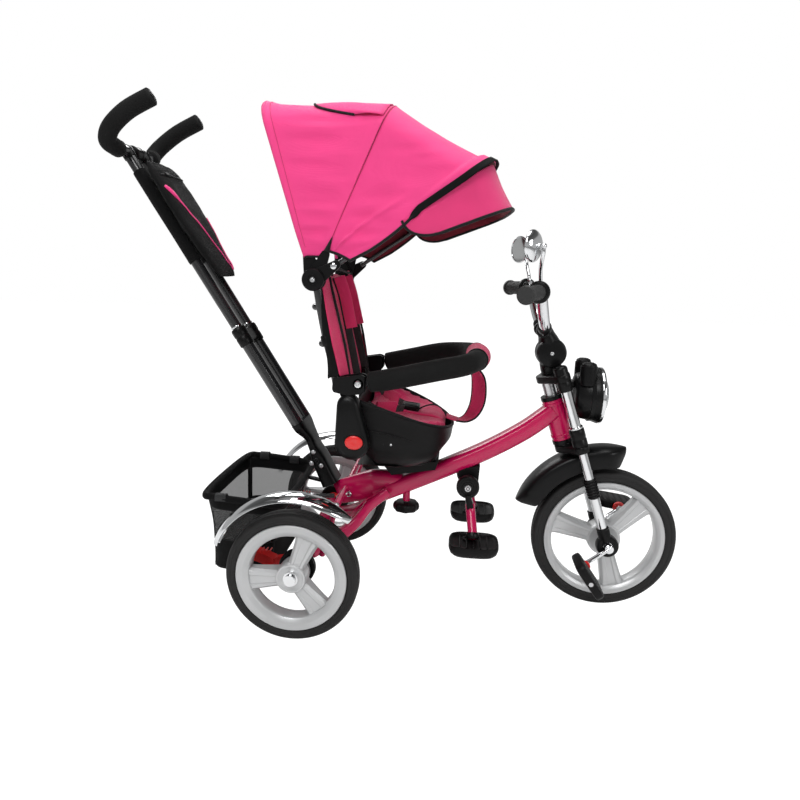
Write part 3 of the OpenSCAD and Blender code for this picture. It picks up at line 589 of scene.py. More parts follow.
for side, s in SIDES:
    body = f"rear_wheel_{side}"
    tyre(f"tyre_rear_{side}", 0, s * REAR_Y, REAR_R, body, f"rear_tyre_{side}")
    rim(f"rim_rear_{side}", 0, s * REAR_Y, REAR_R, 29, 68, body, f"rear_rim_{side}", 6.6, 23.5)
    hub_cap(f"hub_cap_rear_{side}", 0, s * (REAR_Y + 22.5), REAR_R, s, 10.5, CHROME, body)
tyre("tyre_front", WHEELBASE, 0, FRONT_R, "front_wheel", "front_tyre")
rim("rim_front", WHEELBASE, 0, FRONT_R, 34, 45, "front_wheel", "front_rim", 6.6, 16)
refinish("rear_axle", STEEL)
refinish("fasteners", CHROME, 0.6)


# ---------------------------------------------------------------- cranks and pedals
for side, s in SIDES:
    px, pz = WHEELBASE + s * CRANK_LEN * math.cos(CRANK_A), FRONT_R + s * CRANK_LEN * math.sin(CRANK_A)
    route = np.linspace(FRONT_AXLE, (px, 0, pz), 12)
    arm = [p + (0, s * (68 + 1.2 * math.sin(math.pi * i / 11)), 0) for i, p in enumerate(route)]
    sweep(f"crank_arm_{side}", arm, oblong(8, 12, 0.8, 24), ALONG_Y, CHROME, "front_wheel", steps=1,
          smooth=40, slot="chrome", replace="crank" if s > 0 else ())
    for tag, (ex, ez), r in (("inner", (WHEELBASE, FRONT_R), 9.5), ("outer", (px, pz), 8)):
        lathe(f"crank_eye_{tag}_{side}", [(0, 5.2), (r * 0.55, 5.2), (r * 0.6, 4.2), (r * 0.85, 4.6),
                                          (r, 3.4), (r, -3.6), (r * 0.8, -4.6), (0, -4.6)],
              (ex, s * 68, ez), (0, s, 0), CHROME, "front_wheel", segs=36)
    lathe(f"crank_axle_{side}", [(0, 0), (6, 0), (6, 66), (0, 66)], FRONT_AXLE, (0, s, 0), STEEL,
          "front_wheel", segs=28)
    body = f"{side}_pedal"
    lathe(f"pedal_spindle_{side}", [(0, 0), (4.5, 0), (4.5, 86), (0, 86)], (px, s * 70, pz), (0, s, 0),
          STEEL, "front_wheel", segs=20)
    lathe(f"pedal_cap_{side}", [(5, 0), (12, 0), (13, 1.5), (13, 5), (11.5, 7), (5, 7)], (px, s * 73.2, pz),
          (0, s, 0), RED, body, segs=32)
    tilt = math.radians(8 if s > 0 else 54)
    along, up = np.array((math.cos(tilt), 0, -math.sin(tilt))), np.array((math.sin(tilt), 0, math.cos(tilt)))
    outline = oblong(84, 75, 0.35, 48)
    verts = []
    layers = [(-8.6, 0.92), (-7.2, 0.98), (-3, 1.0), (3, 1.0), (7.2, 0.98), (8.6, 0.92)]
    for h, f in layers:
        verts += [np.array((px, s * 118.5, pz)) + along * u * f + np.array((0, v * f, 0)) + up * h
                  for u, v in outline]
    piece(f"pedal_body_{side}", verts, ring_faces(len(layers), len(outline)), BLACK_PLASTIC, body,
          smooth=50, bevel=0.6, replace=f"pedal_{side}", slot="black_plastic")
    for face in (-1, 1):
        for k in range(5):
            off = -28 + 14 * k
            centre = np.array((px, s * 118.5, pz)) + along * off + up * face * 8.6
            block(f"pedal_tread_{side}_{face + 1}_{k}", (5.5, 60, 1.1), centre, BLACK_PLASTIC, body,
                  turn=(0, math.degrees(tilt), 0), bevel=0.5)


# ---------------------------------------------------------------- fenders
def fender(name, x, z, y, r_top, half_w, drop, lip, a1, a2, taper, mat, body, node, slot, skirt=0.0,
           solid=1.5):
    """A curved guard: drop is how far its edges fall from the crown, lip the rolled edge, skirt a side."""
    cols = [-1, -0.985, -0.95, -0.9, -0.8, -0.65, -0.45, -0.22, 0, 0.22, 0.45, 0.65, 0.8, 0.9, 0.95, 0.985, 1]
    rows = 72
    grid = []
    for i in range(rows + 1):
        t = i / rows
        a = math.radians(a1 + (a2 - a1) * t)
        ends = min(t, 1 - t)
        wide = 1.0 if ends > taper else math.sin(math.pi / 2 * (0.12 + 0.88 * ends / taper)) ** 0.75
        row = []
        for u in cols:
            r = r_top - drop * abs(u) ** (2.2 if not skirt else 3.5)
            if abs(u) > 0.9:
                r -= lip * (abs(u) - 0.9) / 0.1 * (0.5 + 0.5 * wide)
            if skirt and abs(u) > 0.94:
                r -= skirt * (abs(u) - 0.94) / 0.06 * min(1.0, ends / 0.03)
            side = half_w * wide * (u if not skirt else math.copysign(min(1.0, abs(u) / 0.94), u))
            row.append((x + r * math.cos(a), y + side, z + r * math.sin(a)))
        grid.append(row)
    return grid_sheet(name, grid, mat, body, solid=solid, replace=node, slot=slot, subdiv=1)


for side, s in SIDES:
    fender(f"fender_rear_{side}", 0, REAR_R, s * REAR_Y, 164.2, 26.4, 8, 3.2, 46.5, 161, 0.2, CHROME,
           "frame", "rear_fenders", "chrome")
    for k, a in enumerate((60, 78)):
        r = 163.0
        place = (r * math.cos(math.radians(a)), s * (REAR_Y - 14), REAR_R + r * math.sin(math.radians(a)))
        screw(f"fender_screw_{side}_{k}", place, (math.cos(math.radians(a)), 0, math.sin(math.radians(a))),
              4.5, STEEL, "frame")
    block(f"fender_stay_{side}", (46, 30, 3), (74, s * 205, 256), BLACK_PAINT, "frame", turn=(0, 30, 0),
          bevel=1.0)

fender("fender_front", WHEELBASE, FRONT_R, 0, 203.0, 35.4, 12, 0, 81, 159, 0.16, SATIN_PLASTIC, "fork",
       "front_fender", "black_plastic", skirt=30, solid=1.8)


# ---------------------------------------------------------------- painted frame
TUBE = [[128, 0, 216], [163, 0, 232], [259, 0, 277], [359, 0, 327], [435, 0, 373], [480, 0, 408],
        [498, 0, 424.5]]
sweep("main_tube_skin", TUBE, oblong(37, 48, 0.6, 40), ALONG_Y, PAINT, "frame", steps=8, smooth=50,
      replace="main_tube", slot="frame_paint")
lathe("head_tube_skin", [(15, -83), (20, -83), (21, -82), (21, -76), (22.2, -75), (22.2, -71), (21, -70),
                         (21, -8), (22.2, -7), (22.2, -2), (21, -1), (21, 4), (20, 5), (15, 5)],
      steer_point(0, 0, 0), STEER_UP, PAINT, "frame", segs=64, slot="frame_paint")
lathe("knob_boss_skin", [(4.2, 206), (8, 206), (8, 236), (4.2, 236)], KNOB_AT, UP, PAINT, "frame", segs=32,
      slot="frame_paint")
# The upper box: the main tube runs on to the rear and drops to a blunt nose
sweep("rear_box", [(44, 0, 213), (60, 0, 220), (92, 0, 230), (124, 0, 241), (152, 0, 246), (188, 0, 248)],
      oblong(1, 1, 0.72, 40), ALONG_Y, PAINT, "frame", steps=6, smooth=50, slot="frame_paint",
      replace="rear_subframe", sizes=[(50, 10), (56, 22), (62, 34), (62, 41), (54, 40), (34, 36)])
for side, s in SIDES:
    # A broad pressed leg curves from the box down and out to the axle
    sweep(f"axle_leg_{side}", [(158, s * 28, 236), (137, s * 33, 219), (116, s * 36, 199),
                               (94, s * 44, 170), (66, s * 68, 148), (32, s * 96, 131), (12, s * 122, 124)],
          oblong(1, 1, 0.45, 36), ALONG_Y, PAINT, "frame", steps=8, smooth=50, slot="frame_paint",
          sizes=[(20, 38), (20, 41), (20, 44), (22, 42), (24, 30), (22, 22), (20, 20)])
    tube(f"leg_seam_{side}", [(154, s * 38, 244), (133, s * 42.5, 232), (107, s * 45.5, 213),
                              (86, s * 51, 192)], 0.9, PAINT, "frame", sides=8, slot="frame_paint", dome=0.5)
    lathe(f"bracket_bolt_{side}", [(0, 5), (2.4, 5), (2.6, 3.4), (3.6, 3.4), (4, 5), (6, 4.6), (6.5, 3),
                                   (6.5, 0), (0, 0)], (74, s * 34, 226), (0, s, 0), CHROME, "frame", segs=28)
    tube(f"stay_top_{side}", [(66, s * 28, 236), (70, s * 110, 246), (74, s * 190, 252)], 7, PAINT, "frame",
         slot="frame_paint", dome=0.5)
    tube(f"stay_drop_{side}", [(74, s * 188, 252), (57, s * 170, 194), (40, s * 150, 136)], 6, PAINT,
         "frame", slot="frame_paint")
lathe("axle_tube", [(7, -180), (13, -180), (14, -179), (14, 179), (13, 180), (7, 180)], REAR_AXLE, ALONG_Y,
      PAINT, "frame", segs=40, slot="frame_paint")
for side, s in SIDES:
    lathe(f"axle_collar_{side}", [(14, 116), (17, 117), (17, 139), (14, 140)], REAR_AXLE, (0, s, 0), PAINT,
          "frame", segs=40, slot="frame_paint")
    lathe(f"brake_drum_{side}", [(8, 181), (21, 181), (22, 184), (33, 184), (36, 187), (36, 189),
                                 (34.5, 190), (34.5, 193), (36, 194), (36, 197), (34, 199), (12, 199),
                                 (8, 198)], REAR_AXLE, (0, s, 0), SATIN_PLASTIC, "frame", segs=56,
          slot="black_plastic", replace="brake_housings" if s > 0 else ())
    refinish(f"brake_pedal_{side}", RED, 2.0)
    for k in range(4):
        block(f"brake_tread_{side}_{k}", (2.6, 17, 2.2), (-84 + 8 * k, s * 168.5, 148.6), RED,
              f"brake_{side}", turn=(0, 0, 0), bevel=0.7)
refinish("headset_cups", SATIN_PLASTIC, 1.5)
refinish("footrest_bracket", BLACK_PLASTIC, 1.2)
refinish("seat_base", BLACK_PLASTIC, 2.0)

# ---------------------------------------------------------------- seat clamp knob and footrests
m = 96
verts = []
layers = [(184, 0.80), (185.2, 0.90), (188, 0.97), (193, 1.0), (198, 0.97), (201.5, 0.90), (203, 0.80)]
for z, f in layers:
    for k in range(m):
        a = 2 * math.pi * k / m
        r = 29.2 * (1 - 0.07 * (0.5 - 0.5 * math.cos(8 * a))) * f
        verts.append((KNOB_AT[0] + r * math.cos(a), r * math.sin(a), z))
piece("knob_grip", verts, ring_faces(len(layers), m), BLACK_PLASTIC, "clamp_knob", smooth=60,
      replace="seat_knob", slot="black_plastic")
lathe("knob_stud", [(0, 200), (4, 200), (4, 220), (0, 220)], KNOB_AT, UP, STEEL, "clamp_knob", segs=24)
lathe("knob_face", [(0, 182.6), (15, 182.6), (17, 183.4), (17, 184.6), (0, 184.6)], KNOB_AT, UP,
      SATIN_PLASTIC, "clamp_knob", segs=48)

for side, s in SIDES:
    body = f"foot_arm_{side}"
    fx, fz = FOOT_AT
    lathe(f"foot_disc_{side}", [(6.2, 39.2), (22.5, 39.2), (24, 40.5), (24, 52), (22.5, 54.4), (18, 55),
                                (16.5, 53.8), (13, 53.8), (12, 55.2), (6.2, 55.2)], (fx, 0, fz), (0, s, 0),
          SATIN_PLASTIC, body, segs=56, replace=f"footrest_{side}", slot="black_plastic")
    lathe(f"foot_bolt_{side}", [(0, 60.5), (2.4, 60.5), (2.6, 59.2), (3.6, 59.2), (4, 60.4), (6.4, 60),
                                (7.2, 58.5), (7.2, 55.6), (0, 55.6)], (fx, 0, fz), (0, s, 0), STEEL,
          "frame", segs=32)
    neck = [(329, s * 47, 246), (331, s * 47, 234), (334, s * 47, 222), (335.4, s * 49.5, 212)]
    sweep(f"foot_neck_{side}", neck, oblong(17, 27, 0.7, 28), ALONG_Y, SATIN_PLASTIC, body, steps=4,
          smooth=50, slot="black_plastic", sizes=[(0.8, 1.1), (0.85, 1.0), (0.95, 0.9), (1.0, 0.82)])
    tube(f"foot_tube_{side}", [(334, s * 47, 224), (335.5, s * 50.5, 214), (337, s * 57, 203),
                               (341, s * 78, 176), (342, s * 88, 163)], 10, PAINT, body, sides=24,
         slot="frame_paint")
    lathe(f"foot_socket_{side}", [(10, -6), (12.5, -6), (13.5, -4), (13.5, 4), (12, 7), (10, 7)],
          (341.6, s * 84, 168), unit(np.array((0.03, s * 0.5, -0.86))), SATIN_PLASTIC, body, segs=36)
    # A dished pad with a raised rim and ribs
    pad = oblong(2, 2, 0.55, 72)
    levels = [(0.70, 139.2), (0.86, 140.5), (0.95, 145), (1.0, 153), (1.0, 159), (0.975, 162.4),
              (0.94, 162.6), (0.90, 159.5), (0.86, 157.5), (0.5, 156.6), (0.02, 156.4)]
    verts = [(344 + 51 * f * u, s * 94 + 45 * f * v, z) for f, z in levels for u, v in pad]
    piece(f"foot_pad_{side}", verts, ring_faces(len(levels), len(pad)), BLACK_PLASTIC, body, smooth=60,
          slot="black_plastic")
    for k in range(5):
        block(f"foot_rib_{side}_{k}", (3, 62, 3.4), (344 - 28 + 14 * k, s * 94, 157.8), BLACK_PLASTIC, body,
              bevel=1.1)
    lathe(f"foot_pad_ring_{side}", [(5, 0), (9, 0.2), (10, 1.6), (9, 2.6), (5, 2.6)], (330, s * 78, 158),
          UP, BLACK_PLASTIC, body, segs=32)

# ---------------------------------------------------------------- push bar
SOCKET = [[push_point(0, 0, 9), (27, 96)], [push_point(0, 0, -4), (25, 94)],
          [np.array((-22, 0, 351)), (19, 74)], [np.array((-15, 0, 340)), (17, 62)],
          [np.array((-6, 0, 318)), (20, 60)], [np.array((5, 0, 293)), (32, 60)],
          [np.array((30, 0, 240)), (38, 60)]]
path = [c for c, _ in SOCKET]
sweep("socket_skin", path, oblong(1, 1, 0.45, 44), ALONG_Y, SATIN_PLASTIC, "frame", steps=4, smooth=50,
      sizes=[(w, d) for _, (w, d) in SOCKET], replace="push_socket", slot="black_paint")
for side, s in SIDES:
    for k, (bx, bz) in enumerate(((-9, 314), (-13, 288), (8, 284))):
        lathe(f"socket_bolt_{side}_{k}", [(0, 3), (2.2, 3), (2.4, 1.8), (3.2, 1.8), (3.4, 3), (4.6, 2.4),
                                          (5, 0), (0, 0)], (bx + 4, s * 30, bz), (0, s, 0), STEEL, "frame",
              segs=24)
    y = s * PUSH_HALF
    lathe(f"lower_tube_{side}", [(11.2, 9), (13, 9), (13, 205), (11.2, 205)], push_point(0, y, 0), PUSH_UP,
          BLACK_PAINT, "frame", segs=36, slot="black_paint", replace="push_lower_tubes" if s > 0 else ())
    lathe(f"lower_collar_{side}", [(11.2, 204), (14.4, 204), (15.6, 206), (15.8, 222), (14.9, 224),
                                   (14.9, 226), (16, 228), (16, 240), (14.5, 244), (11.2, 244)],
          push_point(0, y, 0), PUSH_UP, SATIN_PLASTIC, "frame", segs=36, slot="black_plastic")
    lathe(f"collar_ring_{side}", [(11.3, 246), (12.4, 246), (12.8, 247.5), (12.4, 249), (11.3, 249)],
          push_point(0, y, 0), PUSH_UP, CHROME, "frame", segs=32)
    for h in (255, 268, 281, 294):
        lathe(f"height_pin_{side}_{h}", [(0, 11.12), (2.2, 10.95), (2.8, 10.6), (2.8, 9), (0, 9)],
              push_point(0, y, h), -PUSH_FORWARD, CHROME, "push_handle", segs=18)
    tube(f"upper_tube_{side}", [push_point(0, y, 162), push_point(0, y, PUSH_LEN)], 11, BLACK_PAINT,
         "push_handle", sides=32, straight=True, slot="black_paint", replace="push_upper_tubes" if s > 0
         else ())
    lathe(f"tube_elbow_{side}", [(0, 13), (8, 11.4), (12, 6), (13.2, 0), (12.6, -14), (11.2, -15),
                                 (0, -15)], push_point(0, y, PUSH_LEN), PUSH_UP, SATIN_PLASTIC,
          "push_handle", segs=32)
tube("handle_cross", [push_point(0, -63, PUSH_LEN), push_point(0, 63, PUSH_LEN)], 11.3, BLACK_PAINT,
     "push_handle", sides=32, straight=True, slot="black_paint")
lathe("handle_block", [(11.4, -17), (13.6, -17), (15, -15), (15, -9), (14, -8), (14, 8), (15, 9), (15, 15),
                       (13.6, 17), (11.4, 17)], push_point(0, 0, PUSH_LEN), ALONG_Y, SATIN_PLASTIC,
      "push_handle", segs=44, slot="black_plastic")
lathe("handle_button", [(0, 16.5), (5, 16.3), (7, 15.2), (7.4, 13), (0, 13)], push_point(0, 0, PUSH_LEN),
      -PUSH_FORWARD, RED, "push_handle", segs=32)
block("tube_bridge", (20, 66, 30), push_point(0, 0, 224), SATIN_PLASTIC, "frame",
      turn=(0, -math.degrees(PUSH_LEAN), 0), bevel=4, slot="black_plastic")
HORN = np.array([[-383, 66, 920], [-384, 78, 922], [-389, 94, 931], [-374, 106, 953], [-338, 111, 981],
                 [-291, 111, 1004.5]], float)
for side, s in SIDES:
    tube(f"horn_foam_{side}", HORN * (1, s, 1), 16.8, FOAM, "push_handle", sides=36, steps=9, dome=0.32,
         slot="foam_black", replace="handle_horns" if s > 0 else ())
    tip, way = HORN[-1] * (1, s, 1), unit((HORN[-1] - HORN[-2]) * (1, s, 1))
    lathe(f"horn_plug_{side}", [(0, 5.9), (6, 5.7), (10.5, 4.8), (11.5, 3), (11.5, 1), (0, 1)], tip, way,
          SATIN_PLASTIC, "push_handle", segs=36)


# ---------------------------------------------------------------- handle bag
def bag_point(u, v, w):
    """u runs up the push bar, v across, and w forward from the tubes."""
    return push_point(w, v, u)


def bag_skin():
    """A soft flat bag hung on the tubes: fuller at its foot, pinched at its top."""
    low, high, rows, cols = 349, 611, 46, 60
    verts = []
    for i in range(rows + 1):
        t = i / rows
        u = low + (high - low) * t
        ends = min(1.0, math.sqrt(max(0.0, min(t, 1 - t)) / 0.09))
        half = 69 * (0.72 + 0.28 * math.sin(math.pi * min(1, (1 - t) * 0.85 + 0.2))) * (0.84 + 0.16 * ends)
        thick = 13.2 * (0.55 + 0.45 * math.sin(math.pi * (1 - t) ** 0.7)) * (0.25 + 0.75 * ends)
        for j in range(cols):
            q = 2 * math.pi * j / cols
            c, sn = math.cos(q), math.sin(q)
            v = half * math.copysign(abs(c) ** 0.62, c)
            w = 31 + thick * math.copysign(abs(sn) ** 0.8, sn)
            p = Vector((u * 0.018, v * 0.02, w * 0.05))
            w += 1.5 * noise.noise(p) + 1.2 * noise.noise(p * 2.3)
            w = min(45.5, max(17.4, w))
            verts.append(bag_point(u, v, w))
    return piece("bag_skin", verts, ring_faces(rows + 1, cols), BLACK_FABRIC, "push_handle", smooth=60,
                 replace="handle_bag", slot="black_fabric")


def surface_line(target, points, lift):
    """Drops points onto a piece from outside and lifts them a little: [(start, direction)]."""
    depsgraph = bpy.context.evaluated_depsgraph_get()
    depsgraph.update()
    rows = []
    inverse = target.matrix_world.inverted()
    for start, way in points:
        a, d = inverse @ Vector(at(start)), Vector(way).normalized()
        hit, place, _, _ = target.ray_cast(a, d)
        if hit:
            rows.append(np.array(target.matrix_world @ place) * 1000 - (AXLE_X, 0, 0) - np.array(d) * lift)
    return rows


BAG = bag_skin()
bpy.context.view_layer.update()
# One line of piping sweeps right across the bag's face, broad at its top; a short one follows the far edge
for name, u_top, v1, v2, bow, broad in (("piping", 548, -62, 36, 6, 3.2), ("edge", 486, 61, 42, 5, 0.0)):
    line = []
    for t in np.linspace(0, 1, 22):
        line.append((bag_point(u_top - (u_top - 362) * t, v1 + (v2 - v1) * t ** 1.15 + bow
                               * math.sin(math.pi * t), 90), -PUSH_FORWARD))
    found = surface_line(BAG, line, 0.5)
    tube(f"bag_{name}", found, [1.6 + broad * max(0.0, 1 - abs(k - 1.5) / 3) for k in range(len(found))],
         PINK, "push_handle", sides=8, steps=3, dome=0.5)
for side, s in SIDES:
    # A fabric sleeve carries the bag on each tube
    lathe(f"bag_sleeve_{side}", [(11.1, 402), (13.2, 402.6), (13.6, 406), (13.3, 470), (13.7, 540),
                                 (13.5, 604), (13.1, 609), (11.1, 610)], push_point(0, s * PUSH_HALF, 0),
          PUSH_UP, BLACK_FABRIC, "push_handle", segs=40, slot="black_fabric")
    block(f"bag_buckle_{side}", (4, 12, 20), push_point(15, s * PUSH_HALF, 470), SATIN_PLASTIC,
          "push_handle", turn=(0, -math.degrees(PUSH_LEAN), 0), bevel=1.4)
line = [(bag_point(575, v, 90), -PUSH_FORWARD) for v in np.linspace(-52, 52, 20)]
found = surface_line(BAG, line, 0.5)
tube("bag_zip", found, 2.0, PIPING, "push_handle", sides=8, steps=3)
block("bag_zip_pull", (3, 16, 6), np.array(found[4]) + PUSH_FORWARD * 2, SATIN_PLASTIC, "push_handle",
      turn=(0, -math.degrees(PUSH_LEAN), 0), bevel=1.0)


# ---------------------------------------------------------------- fork, crowns and end caps
def steer_lathe(name, profile, x, y, mat, segs=44, **more):
    return lathe(name, profile, steer_point(x, y, 0), STEER_UP, mat, "fork", segs=segs, **more)


for side, s in SIDES:
    y = s * FORK_HALF
    first = s > 0
    steer_lathe(f"fork_leg_{side}", [(0, -294), (10, -294), (10, -57), (11, -56), (11, 29), (10, 30),
                                     (10, 69), (9, 70), (0, 70)], FORK_OFFSET, y, CHROME, slot="chrome",
                replace="fork_tubes" if first else ())
    steer_lathe(f"fork_sleeve_{side}", [(10.4, -93.8), (14.5, -93.8), (15.5, -92.8), (15.5, -80),
                                        (14.9, -79), (14.9, -76), (15.5, -75), (15.5, -59), (14.6, -57),
                                        (11.3, -57)], FORK_OFFSET, y, SATIN_PLASTIC,
                replace="fork_sleeves" if first else ())
    steer_lathe(f"fork_ring_{side}", [(11.1, -56.6), (13.6, -56.6), (14.2, -55.4), (14.2, -53),
                                      (13.2, -51.8), (11.1, -51.8)], FORK_OFFSET, y, CHROME, slot="chrome")
    bellows = [(10.4, -209)]
    for k in range(7):
        z = -208 + 6 * k
        bellows += [(11.4, z), (13, z + 1.6), (13, z + 3.6), (11.4, z + 5.2)]
    steer_lathe(f"fork_bellows_{side}", bellows + [(10.4, -166)], FORK_OFFSET, y, SATIN_PLASTIC,
                slot="black_plastic")
    steer_lathe(f"fork_cap_{side}", [(10.2, 24), (13.6, 24), (14.5, 25.2), (14.5, 43), (14, 45), (14, 70),
                                     (12.8, 73.6), (9.6, 75.6), (6, 76), (5.5, 74.6), (0, 74.6)],
                FORK_OFFSET, y, SATIN_PLASTIC, slot="black_plastic")
    steer_lathe(f"fork_socket_{side}", [(10.3, -309), (13, -307), (13, -284), (12.2, -281), (12.2, -279.5),
                                        (13, -278), (12.2, -276.4), (10.3, -276)], FORK_OFFSET, y,
                SATIN_PLASTIC, slot="black_plastic")
    axle = steer_point(FORK_OFFSET, 0, -317.3)
    lathe(f"fork_end_{side}", [(7, 41), (21.5, 41), (23, 42.6), (23, 56), (21.5, 59.6), (18, 61),
                               (12.5, 61), (12, 59.4), (7, 59.4)], axle, (0, s, 0), SATIN_PLASTIC, "fork",
          segs=52, slot="black_plastic")
    hub_cap(f"hub_cap_front_{side}", *(axle + (0, s * 59.6, 0)), s, 7.2, CHROME, "fork")


def steer_slab(name, outline, z1, z2, mat, round_by=2.5, **more):
    """A plate square to the steering axis from (x, y) outlines, with rounded edges."""
    pts = np.array(outline, float)
    mid = pts.mean(axis=0)
    size = np.abs(pts - mid).max()
    layers = [(z1, 1 - round_by / size), (z1 + round_by * 0.3, 1 - 0.3 * round_by / size),
              (z1 + round_by, 1), (z2 - round_by, 1), (z2 - round_by * 0.3, 1 - 0.3 * round_by / size),
              (z2, 1 - round_by / size)]
    verts = [steer_point(*(mid + (p - mid) * f), z) for z, f in layers for p in pts]
    return piece(name, verts, ring_faces(len(layers), len(pts)), mat, "fork", smooth=50, **more)


def hull_outline(circles):
    """The outline round a set of (x, y, radius) circles."""
    pts = np.array([(x + r * math.cos(q), y + r * math.sin(q)) for x, y, r in circles
                    for q in np.linspace(0, 2 * math.pi, 48, endpoint=False)])
    order = sorted(map(tuple, pts))

    def half(rows):
        out = []
        for p in rows:
            while len(out) > 1 and ((out[-1][0] - out[-2][0]) * (p[1] - out[-2][1])
                                    - (out[-1][1] - out[-2][1]) * (p[0] - out[-2][0])) <= 1e-9:
                out.pop()
            out.append(p)
        return out[:-1]
    return half(order) + half(order[::-1])


CROWN = hull_outline([(0, 0, 20.5), (FORK_OFFSET, FORK_HALF, 15.8), (FORK_OFFSET, -FORK_HALF, 15.8)])
steer_slab("crown_low", CROWN, -109, -94, SATIN_PLASTIC, replace="fork_crown", slot="black_paint")
steer_slab("crown_top", CROWN, 44, 59, SATIN_PLASTIC, slot="black_paint")
steer_lathe("steerer", [(0, -100), (12.6, -100), (12.6, 58), (0, 58)], 0, 0, STEEL)
steer_lathe("fender_pad", [(0, -113.2), (9, -113.2), (9, -108), (0, -108)], FORK_OFFSET, 0, BLACK_PAINT)

# ---------------------------------------------------------------- stem cover, bar, grips and mirrors
STEM_AT = (484.0, 545.0)
NECK = [(steer_point(12, 0, 60), 36, 38), (steer_point(11, 0, 72), 36, 40), ((485, 0, 530), 50, 50),
        ((484, 0, 545), 54, 52), ((480, 0, 562), 46, 52), ((473, 0, 580), 34, 54), ((467, 0, 592), 30, 55),
        ((463, 0, 600), 22, 50), ((461, 0, 604.5), 9, 40)]
sweep("stem_skin", [p for p, _, _ in NECK], circle(48), ALONG_Y, SATIN_PLASTIC, "fork", steps=7,
      sizes=[(w / 2, d / 2) for _, w, d in NECK], smooth=60, replace="stem_cover", slot="black_plastic")
lathe("stem_disc", [(0, -26), (20, -26), (27, -24), (30, -19), (30.6, -14), (30, -12), (30, 12), (30.6, 14),
                    (30, 19), (27, 24), (20, 26), (0, 26)], (STEM_AT[0], 0, STEM_AT[1]), ALONG_Y,
      SATIN_PLASTIC, "fork", segs=64)
steer_lathe("stem_foot", [(0, 59.4), (18, 59.4), (20, 60.6), (20, 63), (17, 66), (0, 66)], 12, 0,
            SATIN_PLASTIC)
for side, s in SIDES:
    screw(f"stem_screw_{side}", (STEM_AT[0], s * 25.6, STEM_AT[1]), (0, s, 0), 4.6, CHROME, "fork")
    lathe(f"stem_ear_{side}", [(0, 14), (13, 14), (14.6, 16), (14.6, 26), (13.2, 28.4), (9, 29), (0, 29)],
          (464, 0, 590), (0, s, 0), SATIN_PLASTIC, "fork", segs=44)
HALF_BAR = [(409, 196, 667), (425, 160, 668), (440, 112, 670), (447, 90, 662), (458, 58, 618),
            (466, 32, 592), (468, 0, 588)]
whole = both_sides(HALF_BAR)
tube("bar_tube", whole, 11, CHROME, "fork", sides=32, steps=8, replace="handlebar", slot="chrome")
for side, s in SIDES:
    a, b = np.array((438, s * 118, 669.7)), np.array((407, s * 200, 667))
    way, reach = unit(b - a), np.linalg.norm(b - a)
    profile = [(11.2, 0), (13.6, 0)]
    for k in range(13):
        h = 3 + k * (reach - 14) / 13
        profile += [(13.3, h), (14.5, h + 0.9), (14.5, h + 3.6), (13.3, h + 4.5)]
    profile += [(13.3, reach - 9), (16.5, reach - 7.5), (17, reach - 5), (17, reach - 2), (15, reach),
                (0, reach)]
    lathe(f"grip_{side}", profile, a, way, GRIP, "fork", segs=44, closed=False, slot="grip_rubber",
          replace="grips" if s > 0 else ())
    lathe(f"grip_guard_{side}", [(11.2, -7), (14, -7), (19.5, -6), (21, -4.5), (21, 0.5), (19.5, 3),
                                 (14, 4.6), (11.2, 4.6)], a, way, SATIN_PLASTIC, "fork", segs=44)
    c0 = np.array((441.5, s * 107.5, 670.0))
    lathe(f"mirror_clamp_{side}", [(11.1, -7), (15, -7), (16, -5.8), (16, 5.8), (15, 7), (11.1, 7)], c0,
          way, SATIN_PLASTIC, "fork", segs=36)
    v0, v1 = np.array((461.5, s * 46, 604)), np.array((465, s * 34, 594))
    lathe(f"bar_sleeve_{side}", [(11.1, 0), (13.6, 0.6), (14, 3), (14, 9), (13.4, 12), (11.1, 12.4)], v1,
          unit(v0 - v1), SATIN_PLASTIC, "fork", segs=36)
    tube(f"mirror_stem_{side}", [(443, s * 104, 672), (441, s * 107, 694), (438, s * 124, 712),
                                 (437, s * 143, 726), (438, s * 150, 740), (438, s * 151, 751)], 3.6,
         CHROME, "fork", sides=18, steps=7, dome=0.8, slot="chrome")
    lathe(f"mirror_nut_{side}", [(0, 0), (6.5, 0), (7, 1), (7, 6), (5.6, 8), (3.6, 8), (0, 8)],
          (442, s * 105.5, 679), UP, CHROME, "fork", segs=6, smooth=0)
    turn = math.radians(34)
    look = np.array((-math.cos(turn), -s * math.sin(turn), 0))
    ball = np.array((438, s * 151, 752))
    centre = ball + 19.5 * look
    body = f"mirror_head_{side}"
    lathe(f"mirror_shell_{side}", [(0, -13), (4.8, -13), (5.4, -10.5), (13, -9.6), (19, -7.6), (24, -4.6),
                                   (27.6, -1.2), (29, 1.4), (28.9, 3.4), (27.6, 4), (26.6, 3.8),
                                   (26.4, 2.8), (0, 2.8)], centre, look, CHROME, body, segs=64,
          replace=f"mirror_{side}", slot="chrome")
    lathe(f"mirror_face_{side}", [(0, 4.0), (10, 3.9), (20, 3.5), (26.2, 2.9), (26.2, 2.2), (0, 2.2)],
          centre, look, MIRROR, body, segs=64)
    lathe(f"mirror_ball_{side}", [(0, 5.4), (3, 4.5), (4.8, 2.5), (5.3, 0), (4.8, -2.5), (3, -4.5),
                                  (0, -5.4)], ball, UP, CHROME, "fork", segs=28, closed=False)

